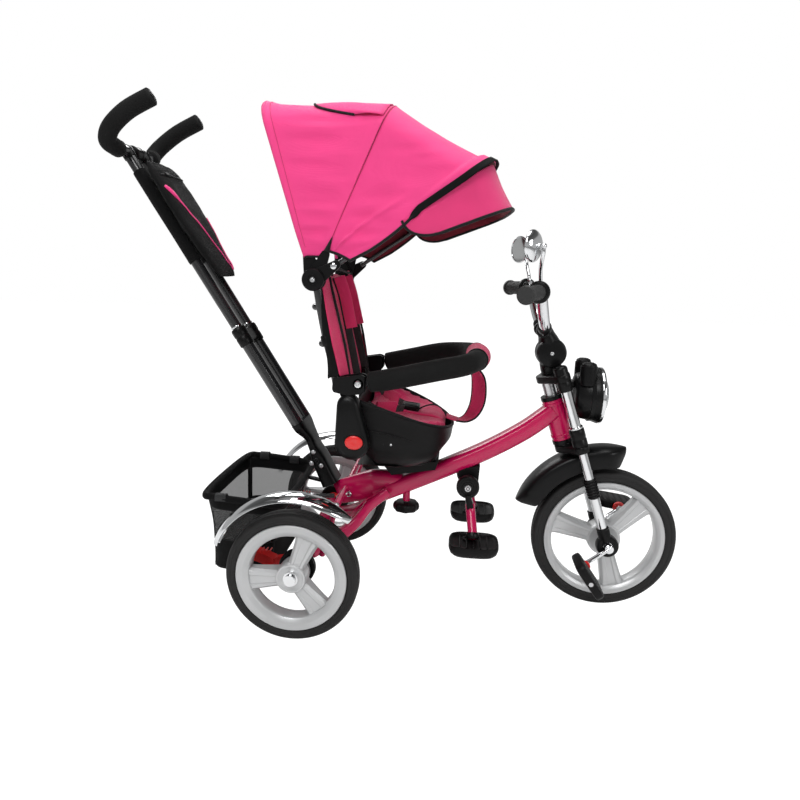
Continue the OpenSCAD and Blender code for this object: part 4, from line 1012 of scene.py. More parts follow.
# ---------------------------------------------------------------- headlight
LIGHT_Z = 459.0
LIGHT = (0, 0, LIGHT_Z)
XDIR = (1, 0, 0)
lathe("light_drum", [(0, 536), (30, 536), (40, 537.5), (45, 542), (47, 550), (49, 552), (52, 568),
                     (55.6, 578), (57.2, 583), (58, 584), (58, 588), (54, 589), (54, 566), (0, 562)], LIGHT,
      XDIR, SATIN_PLASTIC, "fork", segs=96, replace="headlight_housing", slot="black_plastic")
lathe("light_ring", [(53.6, 586), (58, 586), (58.5, 588.5), (58.2, 591.4), (56.6, 593), (53.8, 592.4)],
      LIGHT, XDIR, CHROME, "fork", segs=96, slot="chrome")
lathe("light_bowl", [(9, 568), (22, 568.6), (36, 572), (48, 579), (53.4, 586), (53.4, 587), (47.6, 580),
                     (36, 573.6), (22, 570.4), (9, 569.8)], LIGHT, XDIR, CHROME, "fork", segs=72)
lathe("light_bulb", [(0, 582), (4, 581), (6.4, 577), (6.8, 572), (6.8, 567), (0, 567)], LIGHT, XDIR, GLASS,
      "fork", segs=32)
lathe("light_lens", [(0, 607.4), (14, 606.4), (28, 602.9), (40, 597.4), (49, 591.6), (53.4, 588),
                     (53.4, 586.4), (48.6, 589.4), (40, 594.8), (28, 600.2), (14, 603.8), (0, 604.8)],
      LIGHT, XDIR, GLASS, "fork", segs=96, replace="headlight_lens", slot="lens_clear")
for k in range(7):
    z = -36 + 12 * k
    reach = math.sqrt(50.0 ** 2 - z * z) * 0.93
    tube(f"light_flute_{k}",
         [(588.4 + 8 * (1 - abs(t)), reach * t, LIGHT_Z + z) for t in np.linspace(-1, 1, 9)], 0.9, GLASS,
         "fork", sides=8, steps=2)
for side, s in SIDES:
    tower = (558, s * 33, 0)
    lathe(f"light_tower_{side}", [(0, 486), (17, 486), (17, 521), (16.6, 523.6), (15.6, 524), (15.4, 518),
                                  (0, 518)], tower, UP, SATIN_PLASTIC, "fork", segs=52)
    lathe(f"light_button_cap_{side}", [(0, 531.2), (8, 530.6), (13, 529.2), (14.8, 527), (15, 521.6),
                                       (0, 521.6)], tower, UP, BLACK_PLASTIC, f"light_button_{side}",
          segs=52, replace=f"headlight_button_{side}", slot="black_plastic")
    lathe(f"light_button_ring_{side}", [(8.6, 530.2), (9.4, 531.0), (10.2, 530.2), (9.4, 529.4)], tower, UP,
          BLACK_PLASTIC, f"light_button_{side}", segs=40)
block("light_arm", (34, 30, 14), (520, 0, 478), SATIN_PLASTIC, "fork", turn=(0, -18, 0), bevel=3)


# ---------------------------------------------------------------- basket
def basket_ring(t, cols=96):
    """The bag's ring at a share of its height: narrower below, its walls drawn in between rim and floor."""
    pull = 4.5 * math.sin(math.pi * t)
    x1, x2 = -68 + 24 * t - pull * 0.8, -207 - 2 * t + pull
    half = 126 + 22 * t - pull
    z_floor, power = 75.0, 0.42 - 0.08 * t
    rows = []
    for k in range(cols):
        q = 2 * math.pi * k / cols
        u = math.copysign(abs(math.cos(q)) ** power, math.cos(q))
        v = math.copysign(abs(math.sin(q)) ** power, math.sin(q))
        rim_z = 233.0 + 13.0 * (0.5 - 0.5 * u)
        z = z_floor + (rim_z - z_floor) * t
        ripple = 2.2 * math.sin(math.pi * t) * noise.noise(Vector((u * 2.1, v * 2.3, t * 2.5)))
        rows.append(((x1 + x2) / 2 + (x1 - x2) / 2 * u + ripple * u, (half + ripple) * v, z))
    return rows


def basket():
    cols, heights = 96, [0.0, 0.02, 0.05, 0.1, 0.16, 0.22, 0.3, 0.37, 0.42, 0.425, 0.5, 0.58, 0.66, 0.74,
                         0.82, 0.84, 0.845, 0.9, 0.95, 0.985]
    verts, faces, mats = [], [], []
    floor_rows = [0.0, 0.35, 0.7, 0.93]
    base = basket_ring(0.0, cols)
    cx = np.mean([p[0] for p in base])
    for f in floor_rows:
        verts += [(cx + (x - cx) * f, y * f, 74.6 + 4.5 * f ** 6) for x, y, z in base]
    rings = len(floor_rows)
    for i, t in enumerate(heights):
        verts += [(x, y, z + (5.0 if i == 0 else 0)) for x, y, z in basket_ring(t, cols)]
        rings += 1
    for i in range(rings - 1):
        t = 0 if i < len(floor_rows) else heights[i - len(floor_rows)]
        for j in range(cols):
            faces.append((i * cols + j, i * cols + (j + 1) % cols, (i + 1) * cols + (j + 1) % cols,
                          (i + 1) * cols + j))
            q = (j + 0.5) / cols
            corner = min(abs((q * 4) % 1 - 0.5), 1) < 0.10
            mats.append(1 if 0.42 < t + 0.001 < 0.844 and i >= len(floor_rows) and not corner else 0)
    obj = piece("basket_skin", verts, faces, BLACK_FABRIC, "frame", smooth=70, replace="basket_bag",
                slot="black_fabric")
    obj.data.materials.append(NET)
    obj.data.polygons.foreach_set("material_index", mats)
    modify(obj, "thickness", "SOLIDIFY", thickness=0.0016, offset=0)


basket()
RIM = [(-40, 0, 232), (-44, 120, 232), (-62, 146, 234), (-120, 150, 240), (-180, 149, 245),
       (-204, 132, 246), (-210, 0, 246)]
rim_route = RIM + [(x, -y, z) for x, y, z in reversed(RIM[1:-1])]
closed_rim = smooth_path(rim_route + [rim_route[0]], 8)[:-1]
tube("basket_rim_sleeve", closed_rim, 7.2, BLACK_FABRIC, "frame", sides=20, straight=True, closed=True,
     replace="basket_frame", slot="black_fabric")
for side, s in SIDES:
    tube(f"basket_arm_{side}", [(-46, s * 60, 228), (0, s * 50, 223), (44, s * 41, 222)], 5, BLACK_PAINT,
         "frame", sides=20, slot="black_paint")
for name, t, r in (("hem_top", 0.842, 1.5), ("hem_low", 0.422, 1.5), ("hem_floor", 0.03, 2.2)):
    ring = np.array(basket_ring(t, 96))
    if name == "hem_floor":
        ring = ring + (0, 0, 1)
    tube(f"basket_{name}", ring, r, PIPING, "frame", sides=8, straight=True, closed=True)
for k in range(4):
    j = int(96 * (0.125 + 0.25 * k))
    tube(f"basket_post_{k}", [basket_ring(t, 96)[j] for t in np.linspace(0.02, 0.98, 12)], 2.4, PIPING,
         "frame", sides=8, steps=2, dome=0.6)
for side, s in SIDES:
    for k, (x, rise) in enumerate(((-92, 1.0), (-166, 7.5))):
        strap = [(x + dx, s * 150.5 + s * dy, z - 4 + rise) for dx, dy, z in ((0, 6.6, 236), (0, 5.4, 247),
                     (0, -3, 249.5), (0, -9.5, 243), (0, -7.5, 233))]
        sweep(f"basket_loop_{side}_{k}", strap, [(-0.8, -11), (0.8, -11), (0.8, 11), (-0.8, 11)], (1, 0, 0),
              WEBBING, "frame", steps=4, smooth=50)


# ---------------------------------------------------------------- cushions
def swell(obj, cap, pressure, voxel, steps=20):
    """Swells a closed mesh by cloth under pressure; cap is how far a point may move, in metres."""
    modify(obj, "remesh", "REMESH", mode="VOXEL", voxel_size=voxel)
    apply(obj)
    rest = coordinates(obj)
    mod = obj.modifiers.new("cloth", "CLOTH")
    mod.settings.use_pressure, mod.settings.uniform_pressure_force = True, pressure
    mod.settings.effector_weights.gravity = 0
    mod.settings.quality = 5
    mod.settings.tension_stiffness = mod.settings.compression_stiffness = 18
    for step in range(1, steps + 1):
        bpy.context.scene.frame_set(step)
    move = coordinates(obj.evaluated_get(bpy.context.evaluated_depsgraph_get())) - rest
    obj.modifiers.remove(mod)
    bpy.context.scene.frame_set(1)
    length = np.linalg.norm(move, axis=1, keepdims=True)
    move *= np.minimum(1.0, cap / np.maximum(length, 1e-9))
    obj.data.vertices.foreach_set("co", (rest + move).ravel())
    obj.data.update()
    smooth_shade(obj)


def stuffed(name, fronts, rears, body, node):
    """A padded piece between two like grids of points, swollen by its stuffing."""
    rows, cols = len(fronts), len(fronts[0])
    n = rows * cols
    faces = []
    for a in (i * cols + j for i in range(rows - 1) for j in range(cols - 1)):
        faces += [(a, a + 1, a + cols + 1, a + cols), (n + a, n + a + cols, n + a + cols + 1, n + a + 1)]
    for a in range(0, n - cols, cols):
        b = a + cols - 1
        faces += [(a, a + cols, n + a + cols, n + a), (b, n + b, n + b + cols, b + cols)]
    for a in range(cols - 1):
        b = n - cols + a
        faces += [(a, n + a, n + a + 1, a + 1), (b, b + 1, n + b + 1, n + b)]
    obj = piece(name, [p for row in fronts + rears for p in row], faces, PINK_DARK, None, smooth=180)
    weld(obj, 0.0003)
    swell(obj, 0.006, 3.0, 0.005)
    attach(obj, body)
    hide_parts(node)
    return obj


def apply(obj):
    """Applies an object's modifiers to its mesh."""
    depsgraph = bpy.context.evaluated_depsgraph_get()
    depsgraph.update()
    mesh = bpy.data.meshes.new_from_object(obj.evaluated_get(depsgraph))
    obj.modifiers.clear()
    mats = list(obj.data.materials)
    obj.data = mesh
    if not mesh.materials:
        for mat in mats:
            mesh.materials.append(mat)


def coordinates(obj):
    co = np.zeros(len(obj.data.vertices) * 3)
    obj.data.vertices.foreach_get("co", co)
    return co.reshape(-1, 3)


def smooth_shade(obj):
    obj.data.polygons.foreach_set("use_smooth", [True] * len(obj.data.polygons))
    modify(obj, "smooth", "SUBSURF", levels=1, render_levels=1)


SHELL_TOP = [(96, 455), (180, 428), (290, 386)]
CUSHION_TOP = [(100, 418), (180, 409), (250, 401), (290, 391)]


def along(x, line):
    return float(np.interp(x, [p[0] for p in line], [p[1] for p in line]))


def plan_half(x, front, half):
    """Half width of the seat's plan at x: straight, then an elliptic nose."""
    k = (x - (front - 108)) / 108
    return half if k <= 0 else half * math.sqrt(max(0.0, 1 - k * k))


def seat_pad():
    """The seat's padded liner: dished in the middle, with wings that climb the shell's walls at the back."""
    rows, cols = 34, 41
    tops, unders = [], []
    for i in range(rows):
        t = i / (rows - 1)
        x = 103 + (281 - 103) * math.sin(math.pi / 2 * t)
        half = plan_half(x, 288, 127)
        top, under = [], []
        for j in range(cols):
            v = -1 + 2 * j / (cols - 1)
            v = math.sin(math.pi / 2 * v)
            mid = along(x, CUSHION_TOP) + 3 - 7 * math.sin(math.pi * t) * (1 - v * v)
            rim_z = along(x, SHELL_TOP) + 10.0
            w = min(1.0, max(0.0, (abs(v) - 0.66) / 0.34))
            z = mid + (rim_z - mid) * w ** 1.7
            top.append((x, half * v, z - 2.0))
            low = 384 if abs(v) < 0.9 else 384 + (max(384, rim_z - 20) - 384) * (abs(v) - 0.9) / 0.1
            under.append((x, half * v * 0.975, min(low, z - 10)))
        tops.append(top)
        unders.append(under)
    return stuffed("seat_pad", tops, unders, "frame", "seat_cushion")


SEAT_PAD = seat_pad()
SEAT_EDGE = []
for k in range(-30, 31):
    q = k / 30
    if abs(q) > 0.42:
        x = 175 - (abs(q) - 0.42) / 0.58 * 73
        y = 129.5 * math.copysign(1, q)
    else:
        a = q / 0.42 * math.pi / 2
        x, y = 175 + 115.5 * math.cos(a), 129.5 * math.sin(a)
    SEAT_EDGE.append((x, y, along(x, SHELL_TOP) + 1.0))
tube("seat_piping", SEAT_EDGE, 2.6, PIPING, "frame", sides=10, steps=2, dome=0.6)


def on_surface(target, points, lift=0.6, drop=90):
    """Lays a line of points onto a piece from above."""
    bpy.context.view_layer.update()
    return surface_line(target, [((x, y, z + drop), (0, 0, -1)) for x, y, z in points], lift)


def strap(name, points, width, thick, ref, mat, body, steps=5, **more):
    """A flat strap along a path; ref is square to its face's width."""
    h = thick / 2
    outline = [(-h, -width / 2 + h), (-h * 0.5, -width / 2), (h * 0.5, -width / 2), (h, -width / 2 + h),
               (h, width / 2 - h), (h * 0.5, width / 2), (-h * 0.5, width / 2), (-h, width / 2 - h)]
    return sweep(name, points, outline, ref, mat, body, steps=steps, smooth=50, **more)


def buckle(name, centre, size, turn, body):
    """A side-release buckle: a body, two prongs' windows and a ladder bar."""
    block(name, size, centre, SATIN_PLASTIC, body, turn=turn, bevel=min(size) * 0.28)
    spin = Euler([math.radians(a) for a in turn]).to_matrix()
    for k, off in enumerate((-0.26, 0.26)):
        shift = np.array(spin @ Vector((0, size[1] * off, size[2] * 0.46)))
        block(f"{name}_rib{k}", (size[0] * 0.66, size[1] * 0.1, size[2] * 0.2), np.asarray(centre, float)
              + shift, BLACK_PLASTIC, body, turn=turn, bevel=0.5)


CROTCH = on_surface(SEAT_PAD, [(186, 0, 430), (206, 0, 430), (228, 0, 430), (250, 0, 430), (268, 0, 430)],
                    2.2)
strap("crotch_pad_base", CROTCH, 46, 5, ALONG_Y, PINK_DARK, "frame", slot="pink_fabric")
for side, s in SIDES:
    lap = on_surface(SEAT_PAD, [(118, s * 104, 440), (134, s * 84, 430), (152, s * 60, 430),
                                (170, s * 38, 430), (186, s * 18, 430)], 2.4)
    strap(f"lap_webbing_{side}", lap, 24, 2.4, (0.3, 0, 1), WEBBING, "frame", slot="black_webbing",
          replace="waist_belt" if s > 0 else ())
    strap(f"lap_pad_{side}", np.array(lap[1:4]) + (0, 0, 3.4), 34, 6, (0.3, 0, 1), PINK_DARK, "frame",
          slot="pink_fabric")
buckle("seat_buckle", (200, 0, 418), (38, 40, 12), (0, 6, 0), "frame")
tube("seat_loop", [(214, -20, 414), (228, -26, 424), (246, -20, 428), (262, -4, 420), (272, 10, 405),
                   (276, 16, 396)], 1.6, PIPING, "frame", sides=10, steps=6, dome=0.6)


# ---------------------------------------------------------------- seat shell
def seat_shell():
    """A bucket with a rolled rim; its sides carry a raised panel line."""
    cols, verts = 90, []
    heights = [0.0, 0.03, 0.07, 0.16, 0.3, 0.45, 0.6, 0.75, 0.86, 0.93, 0.98, 1.0]
    bottom = [(96, 346), (138, 311), (264, 311), (292, 346)]
    for t in heights:
        for j in range(cols + 1):
            q = j / cols
            if q < 0.26 or q > 0.74:
                k = q / 0.26 if q < 0.26 else (1 - q) / 0.26
                x, y = 96 + 86 * k, -128 if q < 0.26 else 128
            else:
                a = -math.pi / 2 + math.pi * (q - 0.26) / 0.48
                x, y = 182 + 108 * math.cos(a), 128 * math.sin(a)
            top, low = along(x, SHELL_TOP), along(x, bottom)
            z = top - (top - low) * t
            tuck = 0.06 * t ** 1.2 + 0.30 * max(0.0, (t - 0.55) / 0.45) ** 2.2
            if t < 0.05:
                tuck -= 0.012
            xx = x + (176 - x) * tuck * (1.0 if x > 150 else 0.25)
            yy = y * (1 - tuck * 0.9)
            ridge = math.exp(-((z - (392 - 0.24 * (x - 130))) / 3.0) ** 2) * (1 if 130 < x < 262 else 0)
            yy += math.copysign(1.5 * ridge, yy)
            verts.append((xx, yy, z))
    piece("shell_skin", verts, grid_faces(len(heights), cols + 1), BLACK_PLASTIC, "frame", smooth=60,
          replace="seat_shell", slot="black_plastic", solid=3.6)


seat_shell()
base = [(100, -96), (180, -100), (232, -74), (258, -34), (262, 0), (258, 34), (232, 74), (180, 100),
        (100, 96)]
piece("shell_floor", [(x, y, 313) for x, y in base] + [(x, y * 0.93, 310) for x, y in base],
      [tuple(range(9)), tuple(range(9, 18))] + [(j, (j + 1) % 9, 9 + (j + 1) % 9, 9 + j) for j in range(9)],
      BLACK_PLASTIC, "frame", bevel=1.5, smooth=60, slot="black_plastic")
plate("shell_back", [(97, 348), (101, 348), (101, 440), (97, 446)], -124, 124, BLACK_PLASTIC, "frame",
      bevel=1.4, slot="black_plastic")
for side, s in SIDES:
    for k, x in enumerate((158, 172)):
        screw(f"shell_screw_{side}_{k}", (x, s * 124.6, 368 - 1.5 * k), (0, s, 0), 4.0,
              SATIN_PLASTIC if k == 0 else CHROME, "frame")
    tube(f"shell_line_{side}", [(132, s * 128.2, 392.0), (150, s * 128.4, 390), (178, s * 128.4, 385),
                                (206, s * 124, 377), (222, s * 117, 369)], 1.5, BLACK_PLASTIC, "frame",
         sides=10, steps=5, dome=0.8)


# ---------------------------------------------------------------- backrest
def pillow(name, outline, layers, mat, body, **more):
    """An upright plate whose face swells: layers are (y, share of the outline's size)."""
    pts = np.array(outline, float)
    mid = pts.mean(axis=0)
    verts = [(*(mid + (p - mid) * f)[[0]], y, (mid + (p - mid) * f)[1]) for y, f in layers for p in pts]
    return piece(name, verts, ring_faces(len(layers), len(pts)), mat, body, smooth=60, **more)


HOUSING = hull_outline([(98, 372, 34), (90, 446, 22)])
BRACKET = round_corners([(60, 472), (62, 500), (82, 502), (118, 508), (126, 500), (126, 482), (118, 470),
                         (88, 466)], [4, 6, 4, 8, 6, 8, 8, 6])
for side, s in SIDES:
    first = s > 0
    pillow(f"recline_shell_{side}", HOUSING, [(s * 131, 0.94), (s * 133, 0.985), (s * 138, 1.0),
                                              (s * 148, 1.0), (s * 154, 0.975), (s * 158, 0.93),
                                              (s * 160.6, 0.85), (s * 162.2, 0.72), (s * 163, 0.5),
                                              (s * 163, 0.04)], SATIN_PLASTIC, "backrest",
           slot="black_plastic", replace="recline_housings" if first else ())
    oval = circle(48)
    body = f"lock_button_{side}"
    rx, ry = RECLINE_AT
    verts = [(rx + 17.4 * f * u, s * y, ry + 13.6 * f * v) for y, f in ((160, 1.0), (165, 1.0),
                 (166.4, 0.95), (167, 0.84), (167, 0.3), (166.4, 0.05)) for u, v in oval]
    piece(f"lock_cap_{side}", verts, ring_faces(6, 48), RED, body, smooth=50,
          replace=f"recline_button_{side}", slot="red_plastic")
    verts = [(rx + (17.9 + d) * u, s * y, ry + (14.1 + d) * v) for y, d in ((161, 0), (163.8, 0),
                 (164.2, 1.2), (163.2, 3.2), (161, 3.4)) for u, v in oval]
    piece(f"lock_collar_{side}", verts, ring_faces(5, 48, caps=False), SATIN_PLASTIC, "backrest", smooth=50,
          solid=0.4)
    for k, (y1, y2) in enumerate(((126, 131.6), (148.4, 152))):
        plate(f"arm_bracket_{side}_{k}", BRACKET, s * y1, s * y2, SATIN_PLASTIC, "backrest", bevel=1.2,
              slot="black_paint", replace="back_frame" if first and k == 0 else ())
    plate(f"arm_bracket_core_{side}", round_corners([(58, 474), (60, 500), (82, 501), (84, 470)], 4),
          s * 131, s * 149, SATIN_PLASTIC, "backrest", bevel=1.0)
    ax, az = ARM_AT
    lathe(f"arm_bolt_{side}", [(0, 5.0), (2.2, 5.0), (2.5, 3.2), (3.6, 3.2), (4, 5.0), (6, 4.6), (7.6, 2.6),
                               (7.6, 0), (10, 0), (10, -1), (0, -1)], (ax + 2, s * 152, az), (0, s, 0),
          CHROME, "backrest", segs=32)
    tube(f"back_tube_{side}", [(68, s * ARM_Y, 478), (60, s * ARM_Y, 520), (48, s * ARM_Y, 567),
                               (38, s * 143, 620), (31, s * 146, 664), (27, s * 147.4, 684)],
         [9, 9, 9, 9, 9, 8.2], BLACK_PAINT, "backrest", sides=26, steps=6, slot="black_paint")
    lathe(f"back_tube_plug_{side}", [(9, -8), (11.5, -8), (12, -6), (12, 10), (10.8, 12), (9, 12)],
          (48, s * ARM_Y, 567), unit(np.array((-0.2, 0, 1.0))), SATIN_PLASTIC, "backrest", segs=36)
for k, (x, z) in enumerate(((36, 630), (49, 560))):
    bend = [(0, 140), (-8, 131), (-17, 118), (-19, 60), (-19, 0)]
    tube(f"back_rail_{k}", [(x + dx, -y, z) for dx, y in bend]
         + [(x + dx, y, z) for dx, y in reversed(bend[:-1])], 6, BLACK_PAINT, "backrest", sides=24,
         slot="black_paint")

BACK_FRONT = [(432, 95), (470, 88), (520, 78), (600, 60), (676, 42.5), (700, 38)]
WING = 13.0                             # how far the cushion's sides curve forward
BACK_REAR = [(432, 80), (500, 57), (560, 42), (672, 27.5), (700, 24)]


def back_half(width, t):
    """The cushion's half width at a share of its height: drawn in at its foot and rounded at its top."""
    return width * (1 - 0.10 * max(0, (t - 0.8) / 0.2) ** 2) * (0.93 + 0.07 * min(1, t / 0.15))


def back_pad():
    """The back cushion: side wings that curve forward round the child, rounded at its top."""
    rows, cols = 40, 37
    fronts, rears = [], []
    for i in range(rows):
        t = i / (rows - 1)
        z0 = BACK_LOW + (BACK_HIGH - BACK_LOW) * t
        half = back_half(113.5, t)
        front, rear = [], []
        for j in range(cols):
            v = math.sin(math.pi / 2 * (-1 + 2 * j / (cols - 1)))
            z = z0 - 9 * v * v * max(0, (t - 0.85) / 0.15)
            wing = WING * max(0.0, (abs(v) - 0.55) / 0.45) ** 1.8 * min(1, (t + 0.15) * 1.6) * (1 - 0.35 * t)
            xf = along(z, BACK_FRONT) - 4 - 3 * (1 - v * v) + wing
            xr = along(z, BACK_REAR) + 2 + wing * 0.62
            if abs(v) > 0.93:
                xr = xr + (xf - xr) * 0.25 * (abs(v) - 0.93) / 0.07
            front.append((xf, half * v, z))
            rear.append((xr, half * v, z))
        fronts.append(front)
        rears.append(rear)
    return stuffed("back_pad", fronts, rears, "backrest", "back_cushion")


BACK_PAD = back_pad()
for side, s in SIDES:
    edge, rear_edge = [], []
    for t in np.linspace(0.02, 0.98, 20):
        z = BACK_LOW + (BACK_HIGH - BACK_LOW) * t
        wing = WING * min(1, (t + 0.15) * 1.6) * (1 - 0.35 * t)
        half = back_half(116, t)
        edge.append((along(z, BACK_FRONT) - 3 + wing, s * half, z - 9 * max(0, (t - 0.85) / 0.15)))
        rear_edge.append((along(z, BACK_REAR) + 4 + 0.62 * wing, s * (half + 0.5),
                          z - 9 * max(0, (t - 0.85) / 0.15)))
    tube(f"back_piping_{side}", edge, 2.6, PIPING, "backrest", sides=10, steps=3, dome=0.6)
    strap(f"back_binding_{side}", rear_edge, 3.0, 16, (0, s, 0.0), BLACK_FABRIC, "backrest", steps=3,
          slot="black_fabric")
top = [(along(676, BACK_FRONT) - 2 + WING * 0.65 * max(0.0, (abs(v) - 0.55) / 0.45) ** 1.8, 104 * v,
        699.5 - 9 * v * v) for v in np.linspace(-1, 1, 21)]
tube("back_piping_top", top, 2.6, PIPING, "backrest", sides=10, steps=3, dome=0.6)
# The black panel behind the cushion, from rail to rail
panel = []
for z in np.linspace(446, 690, 18):
    row = []
    for y in np.linspace(-131, 131, 15):
        v = y / 131
        row.append((along(z, BACK_REAR) - 4 + 8 * abs(v) ** 3 - 2.5 * math.sin(math.pi * (z - 446) / 244)
                    * (1 - v * v), y, z))
    panel.append(row)
back_panel = grid_sheet("back_panel", panel, BLACK_FABRIC, "backrest", solid=1.6, slot="black_fabric",
                        subdiv=1)


for side, s in SIDES:
    # A black sleeve reaches from the side tube to the pad's edge
    rows, wings = [], []
    for t in np.linspace(0, 1, 16):
        z = 500 + 196 * t
        post = float(np.interp(z, (478, 520, 567, 620, 664, 684), (68, 60, 48, 38, 31, 27)))
        wing = WING * (1 - 0.35 * t)
        flare = 9.0 * max(0.0, 1 - t / 0.3) ** 2
        rows.append([(post - 7 - flare, s * 143, z - flare), (post - 5 - flare / 2, s * 149, z),
                     (post + 3, s * 153.2, z), (post + 9, s * 150, z + 1)])
        wings.append([(post + 9, s * 150, z + 1), (post + 12, s * 144, z + 1), (post + 14, s * 134, z + 1),
                      (along(z, BACK_FRONT) - 6 + wing * 0.6, s * 122, z + 1),
                      (along(z, BACK_FRONT) - 4 + wing * 0.8, s * 112, z + 1)])
    grid_sheet(f"back_sleeve_{side}", rows, BLACK_FABRIC, "backrest", solid=1.4, slot="black_fabric",
               subdiv=1)
    grid_sheet(f"back_wing_{side}", wings, PINK_DARK, "backrest", solid=1.4, slot="pink_fabric", subdiv=1)


def on_back(points, lift, drop=120):
    bpy.context.view_layer.update()
    return surface_line(BACK_PAD, [((x + drop, y, z + 0.2 * drop), (-1, 0, -0.2)) for x, y, z in points],
                        lift)


for side, s in SIDES:
    line = on_back([(80, s * y, z) for y, z in ((40, 690), (41, 655), (42, 620), (44, 585), (47, 545),
                                                (50, 505), (53, 470), (56, 448))], 2.4)
    strap(f"shoulder_webbing_{side}", line, 25, 2.4, (1, 0, 0.2), WEBBING, "backrest", slot="black_webbing",
          replace="harness" if s > 0 else ())
    pad = np.array(line[0:4]) + (2.6, 0, 0.5)
    strap(f"shoulder_pad_{side}", pad, 42, 5, (1, 0, 0.2), PINK_DARK, "backrest", slot="pink_fabric")
    for edge in (-1, 1):
        tube(f"shoulder_piping_{side}_{edge + 1}", pad + (0.6, edge * 21, 0), 1.8, PIPING, "backrest",
             sides=8, steps=4, dome=0.6)
    buckle(f"shoulder_buckle_{side}", np.array(line[-2]) + (5.5, 0, 1), (10, 32, 34), (0, -14, 0), "backrest")


# ---------------------------------------------------------------- safety bar and its strap
BAR = [(132, 140, 492), (160, 141, 497.5), (190, 142, 504), (255, 138, 519), (308, 104, 526),
       (332, 55, 530), (340, 0, 531)]
bar_route = both_sides(BAR)
tube("bar_foam", bar_route, [19.6, 20.6] + [20.8] * 9 + [20.6, 19.6], FOAM, "arm_bar", sides=40, steps=9,
     dome=0.35, replace="safety_bar", slot="foam_black")
for side, s in SIDES:
    lathe(f"bar_eye_{side}", [(4.3, -7.4), (12.4, -7.4), (13, -6.4), (13, 6.4), (12.4, 7.4), (4.3, 7.4)],
          (*ARM_AT[:1], s * ARM_Y, ARM_AT[1]), ALONG_Y, SATIN_PLASTIC, "arm_bar", segs=36)
    tube(f"bar_stub_{side}", [(112, s * ARM_Y, 490), (140, s * ARM_Y, 494)], 7.2, STEEL, "arm_bar",
         sides=24, straight=True)
middle = smooth_path(bar_route, 9)
near = [p for p in middle if abs(p[1]) < 50]
tube("bar_wrap", near, 22.8, PINK_DARK, "arm_bar", sides=40, straight=True, slot="pink_fabric")
for k, end in enumerate((0, -1)):
    p, q = np.array(near[end]), np.array(near[1 if end == 0 else -2])
    lathe(f"bar_wrap_hem_{k}", [(20.8, -1.8), (22.9, -1.8), (23.4, 0), (22.9, 1.8), (20.8, 1.8)], p,
          unit(q - p), PIPING, "arm_bar", segs=48)
STRAP = [(318, 0, 521), (328, 0, 508), (336, 0, 496), (341, 0, 478), (342, 0, 448), (338, 0, 424),
         (327, 0, 403), (312, 0, 393.5), (298, 0, 394.5)]
# The strap hangs with a half twist between the bar and the seat
rows = []
hang = smooth_path(STRAP, 5)
for k, p in enumerate(hang):
    twist = math.radians(52) * math.sin(math.pi * k / (len(hang) - 1)) ** 0.8
    across = np.array((-math.sin(twist), math.cos(twist), 0))
    rows.append([np.array(p) + across * v + (1.5 * (1 - (v / 18) ** 2), 0, 0) for v in (-18, -12, -6, 0, 6,
                     12, 18)])
grid_sheet("crotch_strap_skin", rows, PINK_DARK, "arm_bar", solid=3.0, replace="crotch_strap",
           slot="pink_fabric")
for side, k in (("near", 0), ("far", -1)):
    tube(f"crotch_piping_{side}", [r[k] for r in rows], 1.9, PIPING, "arm_bar", sides=10, steps=2, dome=0.6)
strap("crotch_anchor", [(300, 0, 394), (288, 0, 397.5), (276, 0, 401)], 37, 3.0, ALONG_Y, PINK_DARK,
      "frame", slot="pink_fabric")

# ---------------------------------------------------------------- canopy
HUB = np.array((HOOD_AT[0], 0, HOOD_AT[1]))
HOOD_TOPS = [(REAR_BOW, 340), (MID_BOW, 347), (FRONT_BOW, 390), (VISOR, 390)]


def hood_line(a, foot, inset=0.0, n=240, tuck=0.0):
    """The canopy's section at a lean, foot to foot, evenly spaced; tuck draws its feet inwards."""
    top = along(a, HOOD_TOPS) - inset
    w, c = HOOD_HALF - inset, 62.0
    half = [(w - 3 * t - tuck * max(0.0, 1 - t / 0.22) ** 1.5, foot + (top - c - foot) * t)
            for t in np.linspace(0, 0.98, 24)]
    half += [(w - 3 - c + c * math.cos(b), top - c + (c - 8) * math.sin(b))
             for b in np.radians(np.linspace(0, 87, 26))]
    half += [((w - 3 - c) * (1 - t), top - 8 + 8 * math.sin(math.pi / 2 * t)) for t in np.linspace(0, 1, 18)]
    line = np.array(half + [(-y, r) for y, r in reversed(half[:-1])])
    dist = np.concatenate([[0], np.cumsum(np.linalg.norm(np.diff(line, axis=0), axis=1))])
    grid = np.linspace(0, dist[-1], n)
    y, r = np.interp(grid, dist, line[:, 0]), np.interp(grid, dist, line[:, 1])
    a = math.radians(a)
    return np.stack([HOOD_AT[0] + r * math.sin(a), y, HOOD_AT[1] + r * math.cos(a)], axis=1)


def grid_normals(g):
    """Unit normals of a grid of points, pointing away from the hub's axis."""
    du, dv = np.gradient(g, axis=0), np.gradient(g, axis=1)
    nrm = np.cross(du, dv)
    nrm /= np.linalg.norm(nrm, axis=2, keepdims=True) + 1e-12
    out = g - HUB + np.array((0.0, 0, 60))
    flip = np.sign((nrm * out).sum(axis=2, keepdims=True))
    return nrm * np.where(flip == 0, 1, flip)


